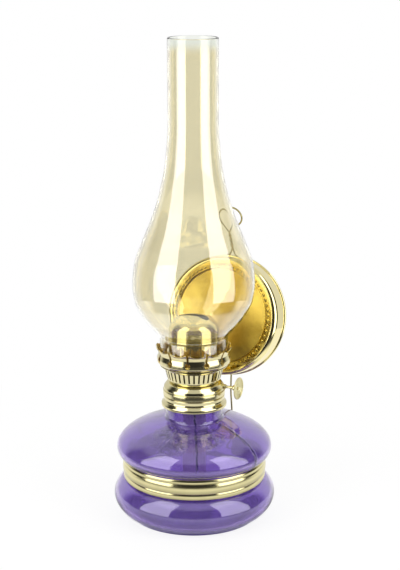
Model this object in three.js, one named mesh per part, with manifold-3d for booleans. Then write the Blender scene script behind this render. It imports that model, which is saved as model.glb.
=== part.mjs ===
// Glass kerosene lamp with a pan reflector and a wire hanger.
// Lengths are millimetres and angles are degrees where a name says so.
// +Z is up, the wall side is +Y and the wick knob is at +X.
// The origin is the centre of the foot, on the surface that the lamp stands on.
import * as THREE from 'three';
import { mergeVertices } from 'three/addons/utils/BufferGeometryUtils.js';
import Module from 'manifold-3d';

const wasm = await Module();
wasm.setup();

// Clearances and facets
const seatGap = 0.3;            // between pieces that touch or are soldered together
const cutOver = 2;              // how far a cutter runs past the wall that it cuts
const roundSteps = 28;          // facets round the glass, the band and the reflector
const burnerSteps = 24;         // facets round the collar and the burner's turned pieces
const smallSteps = 12;          // facets of rods and other small rounds
const holeSteps = 8;            // facets of keyholes and floor holes
const arcSteps = 4;             // straight pieces of a short arc in an outline
const lobeSteps = 6;            // straight pieces of a long arc in an outline

// Font: the purple glass reservoir
const footRadius = 49.2;
const footHeight = 1.4;
const lowerLobeRadius = 60.4;
const lowerLobeDepth = 40;      // radial half axis of the lobe's round
const lowerLobeHeight = 26.2;
const lowerLobeStartAngle = -42;
const lowerLobeEndAngle = 32.3;
const waistDepth = 7.7;         // from the upper lobe's widest ring in to the groove's bottom
const waistHeight = 16;
const waistLip = 1.4;           // height of the slope from a lobe down into the groove
const upperLobeRadius = 58.1;
const upperLobeRise = 6.3;      // from its lower lip up to its widest ring
const upperLobeStartAngle = -56;
const shoulderReach = 77.2;     // radial half axis of the shoulder's curve
const shoulderHalf = 25.9;      // its vertical half axis
const neckFillet = 2.5;
const glassWall = 3;
const fontFloor = 5.5;
const neckOuterRadius = 20.9;
const neckWall = 2.1;
const neckHeight = 14.4;        // above its fillet

// Waist band: one pressed strip with three ridges, open at the back for the wire
const bandSheet = 0.5;
const bandEdgeGap = 0.5;        // from the strip's edges to the two lobes
const ridgeCount = 3;
const ridgeHeight = 0.8;
const ridgeRiseShares = [0, 0.5, 1, 0.5];
const bandOpening = 17;         // width of the opening at the back

// Hanger wire
const wireDiameter = 1.3;
const wireSides = 6;
const waistWireGap = 0.45;
const wireFrontGapAngle = 4;    // degrees from the front centre to each end of the wire
const wireRingStepAngle = 10;
const legSpacing = 10.4;        // centre to centre of the two legs
const legExitRise = 5.5;        // from the bottom of the waist up to the ring and the legs' bend
const legLowBendShare = 0.1;    // the rise of the legs' bend, as shares of its width
const legHighBendShare = 0.5;
const legStraight = 2.6;        // straight run below the reflector's edge
const twistTurns = 2;
const twistStepsPerTurn = 8;
const twistClearance = 0.45;    // between the two strands of the twist
const twistLength = 17;
const twistStart = 4.5;         // beyond the top clip, along the reflector's back
const loopRadius = 8;           // centre line of the hanging loop
const loopNeck = 3.2;           // from the twist to the start of the loop's round
const loopStartAngle = 230;
const loopEndAngle = -50;
const loopSteps = 10;
const hangerForwardLean = 17;   // degrees that the twist and loop lean back to the lamp

// Reflector: a deep pan with a recessed bright disc and a beaded slope
const reflectorY = 50.5;        // centre of the bright disc
const reflectorRise = 36.9;     // from the top of the burner's cap to the disc's centre
const reflectorLean = 12;       // degrees, top further back
const discRadius = 36.3;
const discStep = 0.9;           // sharp step round the bright disc
const beadRingWidth = 4.9;
const slopeRise = 4.6;          // from the bright disc forward to the crest
const slopeWidthShares = [0.3, 0.7];
const slopeRiseShares = [0.5, 0.88];
const crestRadius = 46;
const crestRound = 3.9;         // broad round from the slope over to the pan's wall
const panRadius = 47;           // outside the pan's back edge
const panDepth = 15.5;          // from the bright disc back to the edge
const panSheet = 0.6;
const rolledEdgeRadius = 1;

// Reflector clips: saddles soldered inside the pan, with the two legs under each
const clipSheet = 0.6;
const clipWidth = 5;            // along the wires
const clipInside = 7;           // length soldered inside the pan's wall

// Neck collar and the plaster that sets it on the glass
const collarSheet = 0.5;
const collarFlangeRadius = 24.3;
const collarHang = 6.8;         // how far the collar reaches down below the glass rim
const collarFlangeHeight = 4.6;
const collarRadius = 22.9;
const collarCover = 1.3;        // from the glass rim up to the underside of the collar
const collarRingDip = 0.45;
const threadRadius = 17.5;      // inside of the collar's thread tube
const threadLength = 7.6;

// Burner cap: thread shell, rolled rim and bulge, pressed in one
const capSheet = 0.5;
const threadGap = 0.4;
const shellLength = 7.2;
const capRimRadius = 23.1;
const capRimHeight = 3.7;
const capRimRound = 0.5;
const capBulgeRadius = 22.6;
const capBulgeHeight = 6.1;
const capTopRadius = 18.4;
const capOpeningRadius = 15.6;

// Base plate inside the cap's thread shell
const plateSheet = 0.6;
const plateDrop = 3;            // below the bottom of the cap
const ventRadius = 1.4;
const ventPlace = 12.5;

// Wick, wick tube and wheel housing
const wickWidth = 19;
const wickThickness = 2.4;
const wickGap = 0.35;
const wickOut = 1.4;            // length that stands out of the tube
const wickFloorGap = 12.5;      // from the font's floor to the wick's end
const tubeSheet = 0.5;
const tubeDrop = 5.3;           // below the bottom of the cap
const tubeLength = 59.6;
const wheelRadius = 4.6;
const wheelToothDepth = 1;
const wheelTeeth = 14;
const wheelThickness = 1.8;
const wheelSpacing = 9;
const wheelSideGap = 0.5;
const housingSheet = 0.5;
const housingGap = 0.6;         // from the wheels to the housing

// Spindle, sleeve and knob
const spindleRadius = 1;
const spindleRise = 5.9;        // above the bottom of the cap
const spindleOverhang = 2;      // past the far cheek of the housing
const sleeveSheet = 0.5;
const sleeveInnerX = 10.5;
const sleeveOuterX = 23.2;
const knobFaceX = 33.6;
const knobRadius = 8.3;
const knobSheet = 0.8;
const knobRimRadius = 0.55;
const knobDish = 0.7;
const ferruleRadius = 2.1;
const ferruleBack = 2.6;
const ferruleFront = 0.7;

// Air basket
const basketSheet = 0.5;
const basketSlots = 36;
const basketSlotWidth = 1.4;
const slotRise = 3;             // from the bowl's bottom to the slots
const slotLength = 7.4;
const basketBottomRadius = 18.3;
const basketOpeningRadius = 14.6;
const basketWaistRadius = 21.3;
const basketWaistRise = 7.2;
const basketShoulderRadius = 22.6;
const basketShoulderRise = 3.4; // from its waist to its shoulder
const basketFlangeRadius = 25.3;
const basketFlangeWidth = 1.6;  // flat rim that carries the crown
const basketRimRise = 2.3;      // from its shoulder to its rim

// Chimney crown: keyhole leaves on a perforated floor
const crownSheet = 0.6;
const leafCount = 12;
const crownFloorInnerRadius = 19.3;
const crownBulgeRadius = 27.3;
const crownBulgeRise = 2;
const crownWallHeight = 3.3;    // straight wall from the bulge to the keyholes
const crownShoulderRise = 3.3;  // from the keyholes in to where the leaves grip
const crownGripGap = 0.4;       // from the glass to the leaves
const crownLipRadius = 29;
const crownLipRise = 5.7;       // from the grip to the lip's tips
const lipMiddleShare = 0.6;     // height of the middle of the flared lip
const slitWidth = 1.7;
const keyholeRadius = 2.1;
const leafScallop = 2.6;        // how far the middle of a leaf's lip dips
const lipNotchRadius = 2.2;
const floorHoles = 12;
const floorHoleRadius = 1.2;
const floorHolePlace = 22.4;

// Flame dome
const domeSheet = 0.5;
const domeRadius = 18.6;
const domeSkirtHeight = 18.4;
const domeHeight = 17.2;
const domeBead = 0.35;
const domeBeadHeight = 1.2;
const domeFlange = 1.9;
const domeSlotLength = 24;
const domeSlotWidth = 9;

// Chimney glass
const chimneyWall = 1.6;
const chimneyFitterRadius = 25.2;
const chimneyFitterHeight = 20.1;
const bulbRadius = 44.9;
const bulbRise = 38.9;          // from the fitter to the widest ring
const taperRise = 119.5;        // from the widest ring to the straight tube
const chimneyTubeRadius = 18.2;
const chimneyTubeLength = 59;
const chimneyRimRound = 0.7;

// Shares of the climb and of the widening from the fitter to the bulb
const bulbRiseShares = [0.06, 0.16, 0.32, 0.5, 0.72];
const bulbWidenShares = [0.07, 0.24, 0.51, 0.74, 0.93];
// Shares of the climb and of the widening left from the bulb to the straight tube
const taperRiseShares = [0.13, 0.27, 0.42, 0.58, 0.78];
const taperWidenShares = [0.945, 0.725, 0.455, 0.232, 0.068];

const brass = { color: 0xd9bf6a, metalness: 1, roughness: 0.2 };
const satinBrass = { color: 0xd6c489, metalness: 1, roughness: 0.35 };
const brightBrass = { color: 0xdcb838, metalness: 1, roughness: 0.12 };
const wireFinish = { color: 0xb9ab74, metalness: 1, roughness: 0.35 };
const purpleGlass = { color: 0x7a66a8, roughness: 0.05, transparent: true, opacity: 0.7 };
const clearGlass = { color: 0xe9ddb0, roughness: 0.03, transparent: true, opacity: 0.35 };
const plasterFinish = { color: 0xe8e3d8, roughness: 0.9 };
const cottonFinish = { color: 0xf0ead9, roughness: 0.95 };

const radians = THREE.MathUtils.degToRad;
const half = 0.5;

// Profile helpers: an outline is a list of [radius, height] pairs.
function arc(centreR, centreZ, radiusR, radiusZ, fromDegrees, toDegrees, steps = arcSteps) {
  const points = [];
  for (let i = 0; i <= steps; i += 1) {
    const angle = radians(fromDegrees + (toDegrees - fromDegrees) * i / steps);
    points.push([centreR + radiusR * Math.cos(angle), centreZ + radiusZ * Math.sin(angle)]);
  }
  return points;
}

// The same line moved sideways by a distance, to its left as it is drawn.
function offsetLine(line, distance) {
  const normals = line.slice(1).map(([r, z], i) => {
    const direction = new THREE.Vector2(r - line[i][0], z - line[i][1]).normalize();
    return new THREE.Vector2(-direction.y, direction.x);
  });
  return line.map(([r, z], i) => {
    const before = normals[Math.max(i - 1, 0)];
    const after = normals[Math.min(i, normals.length - 1)];
    const middle = before.clone().add(after).normalize();
    const reach = distance / middle.dot(after);
    return [r + middle.x * reach, z + middle.y * reach];
  });
}

// A closed outline of sheet metal or blown glass: a line and its offset.
function sheetOutline(line, thickness) {
  return [...line, ...offsetLine(line, thickness).reverse()];
}

// Geometry helpers
function signedVolume(geometry) {
  const place = geometry.attributes.position;
  const index = geometry.index.array;
  const corner = [new THREE.Vector3(), new THREE.Vector3(), new THREE.Vector3()];
  let sum = 0;
  for (let i = 0; i < index.length; i += 3) {
    corner.forEach((v, k) => v.fromBufferAttribute(place, index[i + k]));
    sum += corner[0].dot(corner[1].clone().cross(corner[2]));
  }
  return sum;
}

// Welds shared corners, drops faces of no area and turns the faces outwards.
function weld(source) {
  const bare = source.clone();
  const extras = Object.keys(bare.attributes).filter((key) => key !== 'position');
  extras.forEach((key) => bare.deleteAttribute(key));
  bare.clearGroups();
  const geometry = mergeVertices(bare);
  const kept = [];
  const index = geometry.index.array;
  for (let i = 0; i < index.length; i += 3) {
    const [a, b, c] = [index[i], index[i + 1], index[i + 2]];
    if (a !== b && b !== c && c !== a) kept.push(a, b, c);
  }
  geometry.setIndex(kept);
  if (signedVolume(geometry) < 0) geometry.setIndex(kept.slice().reverse());
  return geometry;
}

function turned(outline, steps = roundSteps) {
  const closed = [...outline, outline[0]];
  const profile = closed.map(([r, z]) => new THREE.Vector2(Math.max(r, 0), z));
  return weld(new THREE.LatheGeometry(profile, steps).rotateX(Math.PI / 2));
}

function extruded(points, depth) {
  const shape = new THREE.Shape(points.map(([x, y]) => new THREE.Vector2(x, y)));
  return weld(new THREE.ExtrudeGeometry(shape, { depth, bevelEnabled: false }));
}

function block(width, depth, height, x = 0, y = 0, z = 0) {
  return weld(new THREE.BoxGeometry(width, depth, height).translate(x, y, z));
}

function rodAlongX(radius, fromX, toX, y, z, steps = smallSteps) {
  const rod = new THREE.CylinderGeometry(radius, radius, toX - fromX, steps);
  return weld(rod.rotateZ(Math.PI / 2).translate((fromX + toX) * half, y, z));
}

function rodAlongZ(radius, fromZ, toZ, x, y, steps = smallSteps) {
  const rod = new THREE.CylinderGeometry(radius, radius, toZ - fromZ, steps);
  return weld(rod.rotateX(Math.PI / 2).translate(x, y, (fromZ + toZ) * half));
}

function toSolid(geometry) {
  return new wasm.Manifold(new wasm.Mesh({
    numProp: 3,
    vertProperties: new Float32Array(geometry.attributes.position.array),
    triVerts: new Uint32Array(geometry.index.array),
  }));
}

function fromSolid(solid) {
  const mesh = solid.getMesh();
  const geometry = new THREE.BufferGeometry();
  geometry.setAttribute('position', new THREE.BufferAttribute(mesh.vertProperties, 3));
  geometry.setIndex(new THREE.BufferAttribute(mesh.triVerts, 1));
  return geometry;
}

function cut(base, cutters) {
  let solid = toSolid(base);
  cutters.forEach((cutter) => {
    solid = solid.subtract(toSolid(cutter));
  });
  return fromSolid(solid);
}

function aroundZ(geometry, angle) {
  return geometry.clone().rotateZ(angle);
}

const lamp = new THREE.Group();

function addPiece(name, geometry, finish) {
  geometry.computeVertexNormals();
  const mesh = new THREE.Mesh(geometry, new THREE.MeshStandardMaterial(finish));
  mesh.name = name;
  lamp.add(mesh);
  return mesh;
}

// Font
const waistRadius = upperLobeRadius - waistDepth;
const waistBottom = footHeight + lowerLobeHeight + waistLip;
const waistTop = waistBottom + waistHeight;
const upperLobeMiddle = waistTop + waistLip + upperLobeRise;
const shoulderAngle = Math.acos(1 - (upperLobeRadius - neckOuterRadius - neckFillet) / shoulderReach);
const shoulderTop = upperLobeMiddle + shoulderHalf * Math.sin(shoulderAngle);
const neckTop = shoulderTop + neckFillet + neckHeight;

function fontOuterLine() {
  const startSine = Math.sin(radians(lowerLobeStartAngle));
  const lobeHalf = lowerLobeHeight / (Math.sin(radians(lowerLobeEndAngle)) - startSine);
  const underWidth = upperLobeRadius - waistRadius;
  const underHalf = upperLobeRise / -Math.sin(radians(upperLobeStartAngle));
  return [
    [footRadius, 0],
    [footRadius, footHeight],
    ...arc(lowerLobeRadius - lowerLobeDepth, footHeight - lobeHalf * startSine,
      lowerLobeDepth, lobeHalf, lowerLobeStartAngle, lowerLobeEndAngle, lobeSteps).slice(1),
    [waistRadius, waistBottom],
    [waistRadius, waistTop],
    ...arc(waistRadius, upperLobeMiddle, underWidth, underHalf, upperLobeStartAngle, 0, arcSteps / 2),
    ...arc(upperLobeRadius - shoulderReach, upperLobeMiddle, shoulderReach, shoulderHalf,
      0, THREE.MathUtils.radToDeg(shoulderAngle), lobeSteps).slice(1),
    ...arc(neckOuterRadius + neckFillet, shoulderTop + neckFillet, neckFillet, neckFillet,
      -90, -180, arcSteps / 2).slice(1),
    [neckOuterRadius, neckTop],
  ];
}

function fontGeometry() {
  const outer = fontOuterLine();
  const boreRadius = neckOuterRadius - neckWall;
  const inner = offsetLine(outer, glassWall).filter(([r, z]) => z > fontFloor && r > boreRadius);
  return turned([
    [0, 0],
    ...outer,
    [boreRadius, neckTop],
    [boreRadius, shoulderTop - glassWall],
    ...inner.filter(([, z]) => z < shoulderTop).reverse(),
    [footRadius - glassWall, fontFloor],
    [0, fontFloor],
  ]);
}

addPiece('font_glass', fontGeometry(), purpleGlass);

// Heights of the collar and the burner's stack, which the reflector follows
const collarTop = neckTop + collarCover + collarSheet;
const capBottom = collarTop + seatGap;
const capTop = capBottom + capRimHeight + capBulgeHeight;
const spindleHeight = capBottom + spindleRise;
const reflectorZ = capTop + reflectorRise;

// Hanger wire: one length that rings the waist, climbs behind the reflector,
// twists together and ends in a loop for a nail.
const wireRadius = wireDiameter * half;
const wireRingRadius = waistRadius + waistWireGap + wireRadius;
const lean = radians(reflectorLean);
const panBackDepth = panDepth + rolledEdgeRadius;
const legDepth = panBackDepth + seatGap + wireRadius;
const legExitHeight = waistBottom + legExitRise;

// A point on the reflector: right along X, up along its leaning face, and back from its bright disc.
function onReflector(right, up, back) {
  return new THREE.Vector3(
    right,
    reflectorY + up * Math.sin(lean) + back * Math.cos(lean),
    reflectorZ + up * Math.cos(lean) - back * Math.sin(lean),
  );
}

class WireRoute extends THREE.CatmullRomCurve3 {
  // Steps follow the stations, which lie closer together where the wire bends more.
  getUtoTmapping(u) {
    return u;
  }
}

function leftHalfOfWire() {
  const stations = [];
  const legX = -legSpacing * half;
  const ringEnd = 270 - THREE.MathUtils.radToDeg(Math.asin(legSpacing * half / wireRingRadius));
  for (let angle = 90 + wireFrontGapAngle; angle < ringEnd; angle += wireRingStepAngle) {
    const turn = radians(angle);
    stations.push(new THREE.Vector3(-wireRingRadius * Math.sin(turn - Math.PI / 2),
      -wireRingRadius * Math.cos(turn - Math.PI / 2), legExitHeight));
  }
  const climbY = upperLobeRadius + waistWireGap + wireRadius;
  const bend = climbY - wireRingRadius;
  const exitY = wireRingRadius + wireRadius;
  stations.push(new THREE.Vector3(legX, exitY, legExitHeight + bend * legLowBendShare));
  stations.push(new THREE.Vector3(legX, climbY - wireRadius, legExitHeight + bend * legHighBendShare));
  stations.push(new THREE.Vector3(legX, climbY, upperLobeMiddle - wireRadius));
  stations.push(new THREE.Vector3(legX, climbY, upperLobeMiddle + bend));
  stations.push(onReflector(legX, -panRadius - legStraight, legDepth));
  stations.push(onReflector(legX, 0, legDepth));
  stations.push(onReflector(legX, panRadius, legDepth));
  return stations;
}

const twistRadius = (wireDiameter + twistClearance) * half;
const twistOrigin = onReflector(0, panRadius + twistStart, legDepth);
const hangerLean = radians(hangerForwardLean);
const hangerUp = new THREE.Vector3(0, -Math.sin(hangerLean), Math.cos(hangerLean));
const hangerBack = new THREE.Vector3(0, Math.cos(hangerLean), Math.sin(hangerLean));

function onHanger(right, up, back) {
  return twistOrigin.clone()
    .addScaledVector(new THREE.Vector3(1, 0, 0), right)
    .addScaledVector(hangerUp, up)
    .addScaledVector(hangerBack, back);
}

function leftHalfOfTwist() {
  const steps = twistTurns * twistStepsPerTurn;
  const stations = [];
  for (let i = 0; i <= steps; i += 1) {
    const angle = Math.PI + 2 * Math.PI * twistTurns * i / steps;
    const right = twistRadius * Math.cos(angle);
    const back = twistRadius * Math.sin(angle);
    stations.push(onHanger(right, twistLength * i / steps, back));
  }
  return stations;
}

function rightFromLeft(stations, swapBack) {
  return stations.map((p) => {
    if (!swapBack) return new THREE.Vector3(-p.x, p.y, p.z);
    const along = p.clone().sub(twistOrigin);
    const back = along.dot(hangerBack);
    return new THREE.Vector3(-p.x, p.y, p.z).addScaledVector(hangerBack, -2 * back);
  }).reverse();
}

function loopStations() {
  const stations = [];
  const centreUp = twistLength + loopNeck + loopRadius;
  for (let i = 0; i <= loopSteps; i += 1) {
    const angle = radians(loopStartAngle + (loopEndAngle - loopStartAngle) * i / loopSteps);
    stations.push(onHanger(loopRadius * Math.cos(angle), centreUp + loopRadius * Math.sin(angle), 0));
  }
  return stations;
}

function hangerGeometry() {
  const left = leftHalfOfWire();
  const twist = leftHalfOfTwist();
  const stations = [...left, ...twist, ...loopStations(),
    ...rightFromLeft(twist, true), ...rightFromLeft(left, false)];
  const route = new WireRoute(stations);
  const ring = new THREE.Shape();
  ring.absarc(0, 0, wireRadius, 0, 2 * Math.PI);
  const section = new THREE.Shape(ring.getPoints(wireSides).slice(0, wireSides));
  const options = { steps: stations.length - 1, extrudePath: route, bevelEnabled: false };
  return weld(new THREE.ExtrudeGeometry(section, options));
}

addPiece('hanger_wire', hangerGeometry(), wireFinish);

// Waist band
function bandGeometry() {
  const innerRadius = wireRingRadius + wireRadius + waistWireGap;
  const bottom = waistBottom + bandEdgeGap;
  const height = waistHeight - 2 * bandEdgeGap;
  const ridgePitch = height / ridgeCount;
  const line = [];
  for (let ridge = 0; ridge < ridgeCount; ridge += 1) {
    ridgeRiseShares.forEach((share, i) => {
      const height = bottom + ridgePitch * (ridge + i / ridgeRiseShares.length);
      line.push([innerRadius + ridgeHeight * share, height]);
    });
  }
  line.push([innerRadius, bottom + ridgePitch * ridgeCount]);
  const ring = turned(sheetOutline(line, -bandSheet));
  const reach = innerRadius + ridgeHeight + cutOver;
  const gap = block(bandOpening, reach, waistHeight, 0, reach * half, bottom + height * half);
  return cut(ring, [gap]);
}

addPiece('waist_band', bandGeometry(), brass);

// Reflector
function reflectorLine() {
  const slopeStart = discRadius + discStep;
  const slope = slopeWidthShares.map((share, i) => [
    slopeStart + beadRingWidth * share,
    discStep + (slopeRise - discStep) * slopeRiseShares[i],
  ]);
  return [
    [0, 0],
    [discRadius, 0],
    [slopeStart, discStep],
    ...slope,
    ...arc(crestRadius - crestRound, slopeRise - crestRound, crestRound, crestRound, 90, 0),
    [panRadius - rolledEdgeRadius, -panDepth + rolledEdgeRadius],
  ];
}

function rolledEdge() {
  const middle = panRadius - rolledEdgeRadius;
  return arc(middle, -panDepth, rolledEdgeRadius, rolledEdgeRadius, 90, -180, arcSteps);
}

function reflectorGeometry() {
  const front = reflectorLine();
  const back = offsetLine(front, -panSheet);
  back[0] = [0, -panSheet];
  return turned([...front.slice(0, -1), ...rolledEdge(), ...back.reverse()]);
}

function onto(mesh) {
  mesh.position.set(0, reflectorY, reflectorZ);
  mesh.rotation.x = Math.PI / 2 - lean;
  return mesh;
}

onto(addPiece('reflector_dish', reflectorGeometry(), brightBrass));

// Clips: each is a saddle with the two legs under its bridge. Its ends stand
// inside the pan's wall, where they are soldered.
function clipGeometry() {
  const bridge = legDepth + wireRadius + seatGap;
  const inside = legSpacing * half + wireRadius + seatGap;
  const line = [
    [-inside, clipInside - panDepth],
    [-inside, -bridge],
    [inside, -bridge],
    [inside, clipInside - panDepth],
  ];
  const wallReach = (crestRadius - panSheet) * Math.cos(Math.PI / roundSteps);
  const clipReach = Math.sqrt(wallReach ** 2 - (inside + clipSheet) ** 2) - seatGap;
  const saddle = extruded(sheetOutline(line, -clipSheet), clipWidth);
  return weld(saddle.rotateX(Math.PI / 2).translate(0, clipReach, 0));
}

const clip = clipGeometry();
onto(addPiece('reflector_clip_upper', clip, satinBrass));
onto(addPiece('reflector_clip_lower', clip.clone().rotateZ(Math.PI), satinBrass));

// Neck collar: a channel over the glass neck, with the thread tube inside it
function collarGeometry() {
  const collarFlangeBottom = neckTop - collarHang;
  const flangeTop = collarFlangeBottom + collarFlangeHeight;
  const line = [
    [collarFlangeRadius - collarSheet, collarFlangeBottom],
    [collarFlangeRadius, collarFlangeBottom + collarSheet],
    [collarFlangeRadius, collarFlangeBottom + collarFlangeHeight * half],
    [collarRadius - collarRingDip, flangeTop],
    [collarRadius, flangeTop + collarSheet],
    [collarRadius - collarRingDip, (flangeTop + collarTop) * half],
    [collarRadius, collarTop - collarSheet],
    [collarRadius - collarSheet, collarTop],
    [threadRadius, collarTop],
    [threadRadius, collarTop - threadLength],
  ];
  return turned(sheetOutline(line, collarSheet), burnerSteps);
}

addPiece('neck_collar', collarGeometry(), brass);

function plasterGeometry() {
  const inner = neckOuterRadius + seatGap;
  const outer = collarRadius - collarRingDip - collarSheet - seatGap;
  const bottom = neckTop - collarHang + seatGap;
  const top = neckTop - seatGap;
  return turned([[inner, bottom], [outer, bottom], [outer, top], [inner, top]], burnerSteps);
}

addPiece('collar_plaster', plasterGeometry(), plasterFinish);

// Burner cap
const shellRadius = threadRadius - threadGap;
const wheelY = wickThickness * half + wickGap + wheelRadius;

function capGeometry() {
  const rimTop = capBottom + capRimHeight;
  const line = [
    [shellRadius, capBottom - shellLength],
    [shellRadius, capBottom],
    [capRimRadius - capRimRound, capBottom],
    [capRimRadius, capBottom + capRimRound],
    [capRimRadius, rimTop - capRimRound],
    [capBulgeRadius - capRimRound, rimTop],
    ...arc(capTopRadius, rimTop, capBulgeRadius - capTopRadius, capBulgeHeight, 12, 90, arcSteps - 1),
    [capOpeningRadius, capTop],
  ];
  const shell = turned(sheetOutline(line, capSheet), burnerSteps);
  const holeRadius = spindleRadius + seatGap + sleeveSheet + seatGap;
  const hole = rodAlongX(holeRadius, capOpeningRadius, capBulgeRadius + cutOver, wheelY, spindleHeight);
  return cut(shell, [hole]);
}

addPiece('burner_cap', capGeometry(), brass);

// Base plate: closes the thread shell and carries the wick tube
const tubeInnerWidth = wickWidth + 2 * wickGap;
const tubeInnerDepth = wickThickness + 2 * wickGap;
const tubeWidth = tubeInnerWidth + 2 * tubeSheet;
const tubeDepth = tubeInnerDepth + 2 * tubeSheet;
const plateRadius = shellRadius - capSheet - seatGap;
const plateBottom = capBottom - plateDrop;

function basePlateGeometry() {
  const plate = rodAlongZ(plateRadius, plateBottom, plateBottom + plateSheet, 0, 0, burnerSteps);
  const slot = block(tubeWidth + 2 * seatGap, tubeDepth + 2 * seatGap, cutOver, 0, 0, plateBottom);
  const vent = rodAlongZ(ventRadius, plateBottom - cutOver, plateBottom + cutOver, 0, -ventPlace);
  return cut(plate, [slot, vent]);
}

addPiece('burner_base_plate', basePlateGeometry(), satinBrass);

// Wick tube: flat tube with two windows at the back, one for each wheel
const wheelPlaces = [-wheelSpacing * half, wheelSpacing * half];

const tubeBottom = capBottom - tubeDrop;
const tubeTop = tubeBottom + tubeLength;

function wickTubeGeometry() {
  const height = tubeTop - tubeBottom;
  const middle = (tubeTop + tubeBottom) * half;
  const outside = block(tubeWidth, tubeDepth, height, 0, 0, middle);
  const inside = block(tubeInnerWidth, tubeInnerDepth, height + cutOver, 0, 0, middle);
  const windowWidth = wheelThickness + 2 * wheelSideGap;
  const windowHeight = 2 * wheelRadius;
  const windows = wheelPlaces.map((x) => block(windowWidth, tubeDepth, windowHeight,
    x, tubeDepth * half + wickThickness * half, spindleHeight));
  return cut(outside, [inside, ...windows]);
}

addPiece('wick_tube', wickTubeGeometry(), satinBrass);

// Wheel housing: a small box on the back of the wick tube that carries the spindle
const housingInnerWidth = wheelSpacing + wheelThickness + 2 * housingGap;
const housingInnerDepth = wheelY + wheelRadius + housingGap - tubeDepth * half;

function housingGeometry() {
  const width = housingInnerWidth + 2 * housingSheet;
  const height = 2 * (wheelRadius + housingGap + housingSheet);
  const front = tubeDepth * half + seatGap;
  const depth = housingInnerDepth + housingSheet - seatGap;
  const box = block(width, depth, height, 0, front + depth * half, spindleHeight);
  const hollowHeight = height - 2 * housingSheet;
  const hollowY = front + depth * half - housingSheet;
  const hollow = block(housingInnerWidth, depth, hollowHeight, 0, hollowY, spindleHeight);
  const bore = rodAlongX(spindleRadius + seatGap, -width, width, wheelY, spindleHeight);
  return cut(box, [hollow, bore]);
}

addPiece('wheel_housing', housingGeometry(), satinBrass);

function sleeveGeometry() {
  const bore = spindleRadius + seatGap;
  const tube = rodAlongX(bore + sleeveSheet, sleeveInnerX, sleeveOuterX, wheelY, spindleHeight);
  const hole = rodAlongX(bore, sleeveInnerX - cutOver, sleeveOuterX + cutOver, wheelY, spindleHeight);
  return cut(tube, [hole]);
}

addPiece('spindle_sleeve', sleeveGeometry(), brass);

// Air basket: the slotted bowl between the cap and the crown
const basketBottom = capTop + seatGap;
const basketWaistHeight = basketBottom + basketWaistRise;
const basketShoulderHeight = basketWaistHeight + basketShoulderRise;
const basketTop = basketShoulderHeight + basketRimRise;

function basketGeometry() {
  const line = [
    [basketOpeningRadius, basketBottom],
    [basketBottomRadius, basketBottom],
    [basketWaistRadius, basketWaistHeight],
    [basketShoulderRadius, basketShoulderHeight],
    [basketFlangeRadius - basketFlangeWidth, basketTop - basketSheet],
    [basketFlangeRadius, basketTop - basketSheet],
  ];
  const bowl = turned(sheetOutline(line, basketSheet), basketSlots);
  const reach = basketShoulderRadius - basketOpeningRadius + cutOver;
  const slot = block(reach, basketSlotWidth, slotLength,
    basketOpeningRadius + reach * half, 0, basketBottom + slotRise + slotLength * half);
  const pitch = 2 * Math.PI / basketSlots;
  const slots = Array.from({ length: basketSlots }, (_, i) => aroundZ(slot, pitch * (i + half)));
  return cut(bowl, slots);
}

addPiece('air_basket', basketGeometry(), brass);

// Chimney crown: leaves that grip the glass, each between two keyhole slits
const crownBottom = basketTop + seatGap;
const crownBulgeHeight = crownBottom + crownBulgeRise;
const keyholeHeight = crownBulgeHeight + crownWallHeight;
const crownGripHeight = keyholeHeight + crownShoulderRise;
const crownTop = crownGripHeight + crownLipRise;
const crownGripRadius = chimneyFitterRadius + crownGripGap + crownSheet;

function crownGeometry() {
  const line = [
    [crownFloorInnerRadius, crownBottom],
    [basketFlangeRadius, crownBottom],
    ...arc(basketFlangeRadius, crownBulgeHeight, crownBulgeRadius - basketFlangeRadius,
      crownBulgeRise, -60, 0, 2),
    [crownBulgeRadius, keyholeHeight],
    [crownGripRadius, crownGripHeight],
    [(crownGripRadius + crownLipRadius) * half, crownGripHeight + crownLipRise * lipMiddleShare],
    [crownLipRadius, crownTop],
  ];
  const shell = turned(sheetOutline(line, crownSheet), burnerSteps);
  const reach = crownLipRadius + cutOver;
  const slitLow = keyholeHeight;
  const slitHigh = crownTop + cutOver;
  const slit = block(reach, slitWidth, slitHigh - slitLow, reach * half, 0, (slitHigh + slitLow) * half);
  const keyhole = rodAlongX(keyholeRadius, crownFloorInnerRadius, reach, 0, keyholeHeight, holeSteps);
  const notch = rodAlongX(lipNotchRadius, crownFloorInnerRadius, reach, 0, crownTop, holeSteps);
  const pitch = 2 * Math.PI / leafCount;
  const leafHalf = crownLipRadius * Math.sin(pitch * half);
  const scallopRadius = (leafHalf * leafHalf + leafScallop * leafScallop) / (2 * leafScallop);
  const scallop = rodAlongX(scallopRadius, crownFloorInnerRadius, reach, 0,
    crownTop - leafScallop + scallopRadius, roundSteps);
  const holePitch = 2 * Math.PI / floorHoles;
  const hole = rodAlongZ(floorHoleRadius, crownBottom - cutOver, crownBottom + cutOver,
    floorHolePlace, 0, holeSteps);
  const cutters = [];
  for (let leaf = 0; leaf < leafCount; leaf += 1) {
    const slitAngle = pitch * (leaf + half);
    [slit, keyhole, notch].forEach((cutter) => cutters.push(aroundZ(cutter, slitAngle)));
    cutters.push(aroundZ(scallop, pitch * leaf));
  }
  for (let i = 0; i < floorHoles; i += 1) cutters.push(aroundZ(hole, holePitch * i));
  return cut(shell, cutters);
}

addPiece('chimney_crown', crownGeometry(), brass);

// Flame dome
const domeBottom = crownBottom + crownSheet + seatGap + domeSheet;
const domeSkirtTop = domeBottom + domeSkirtHeight;

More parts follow.
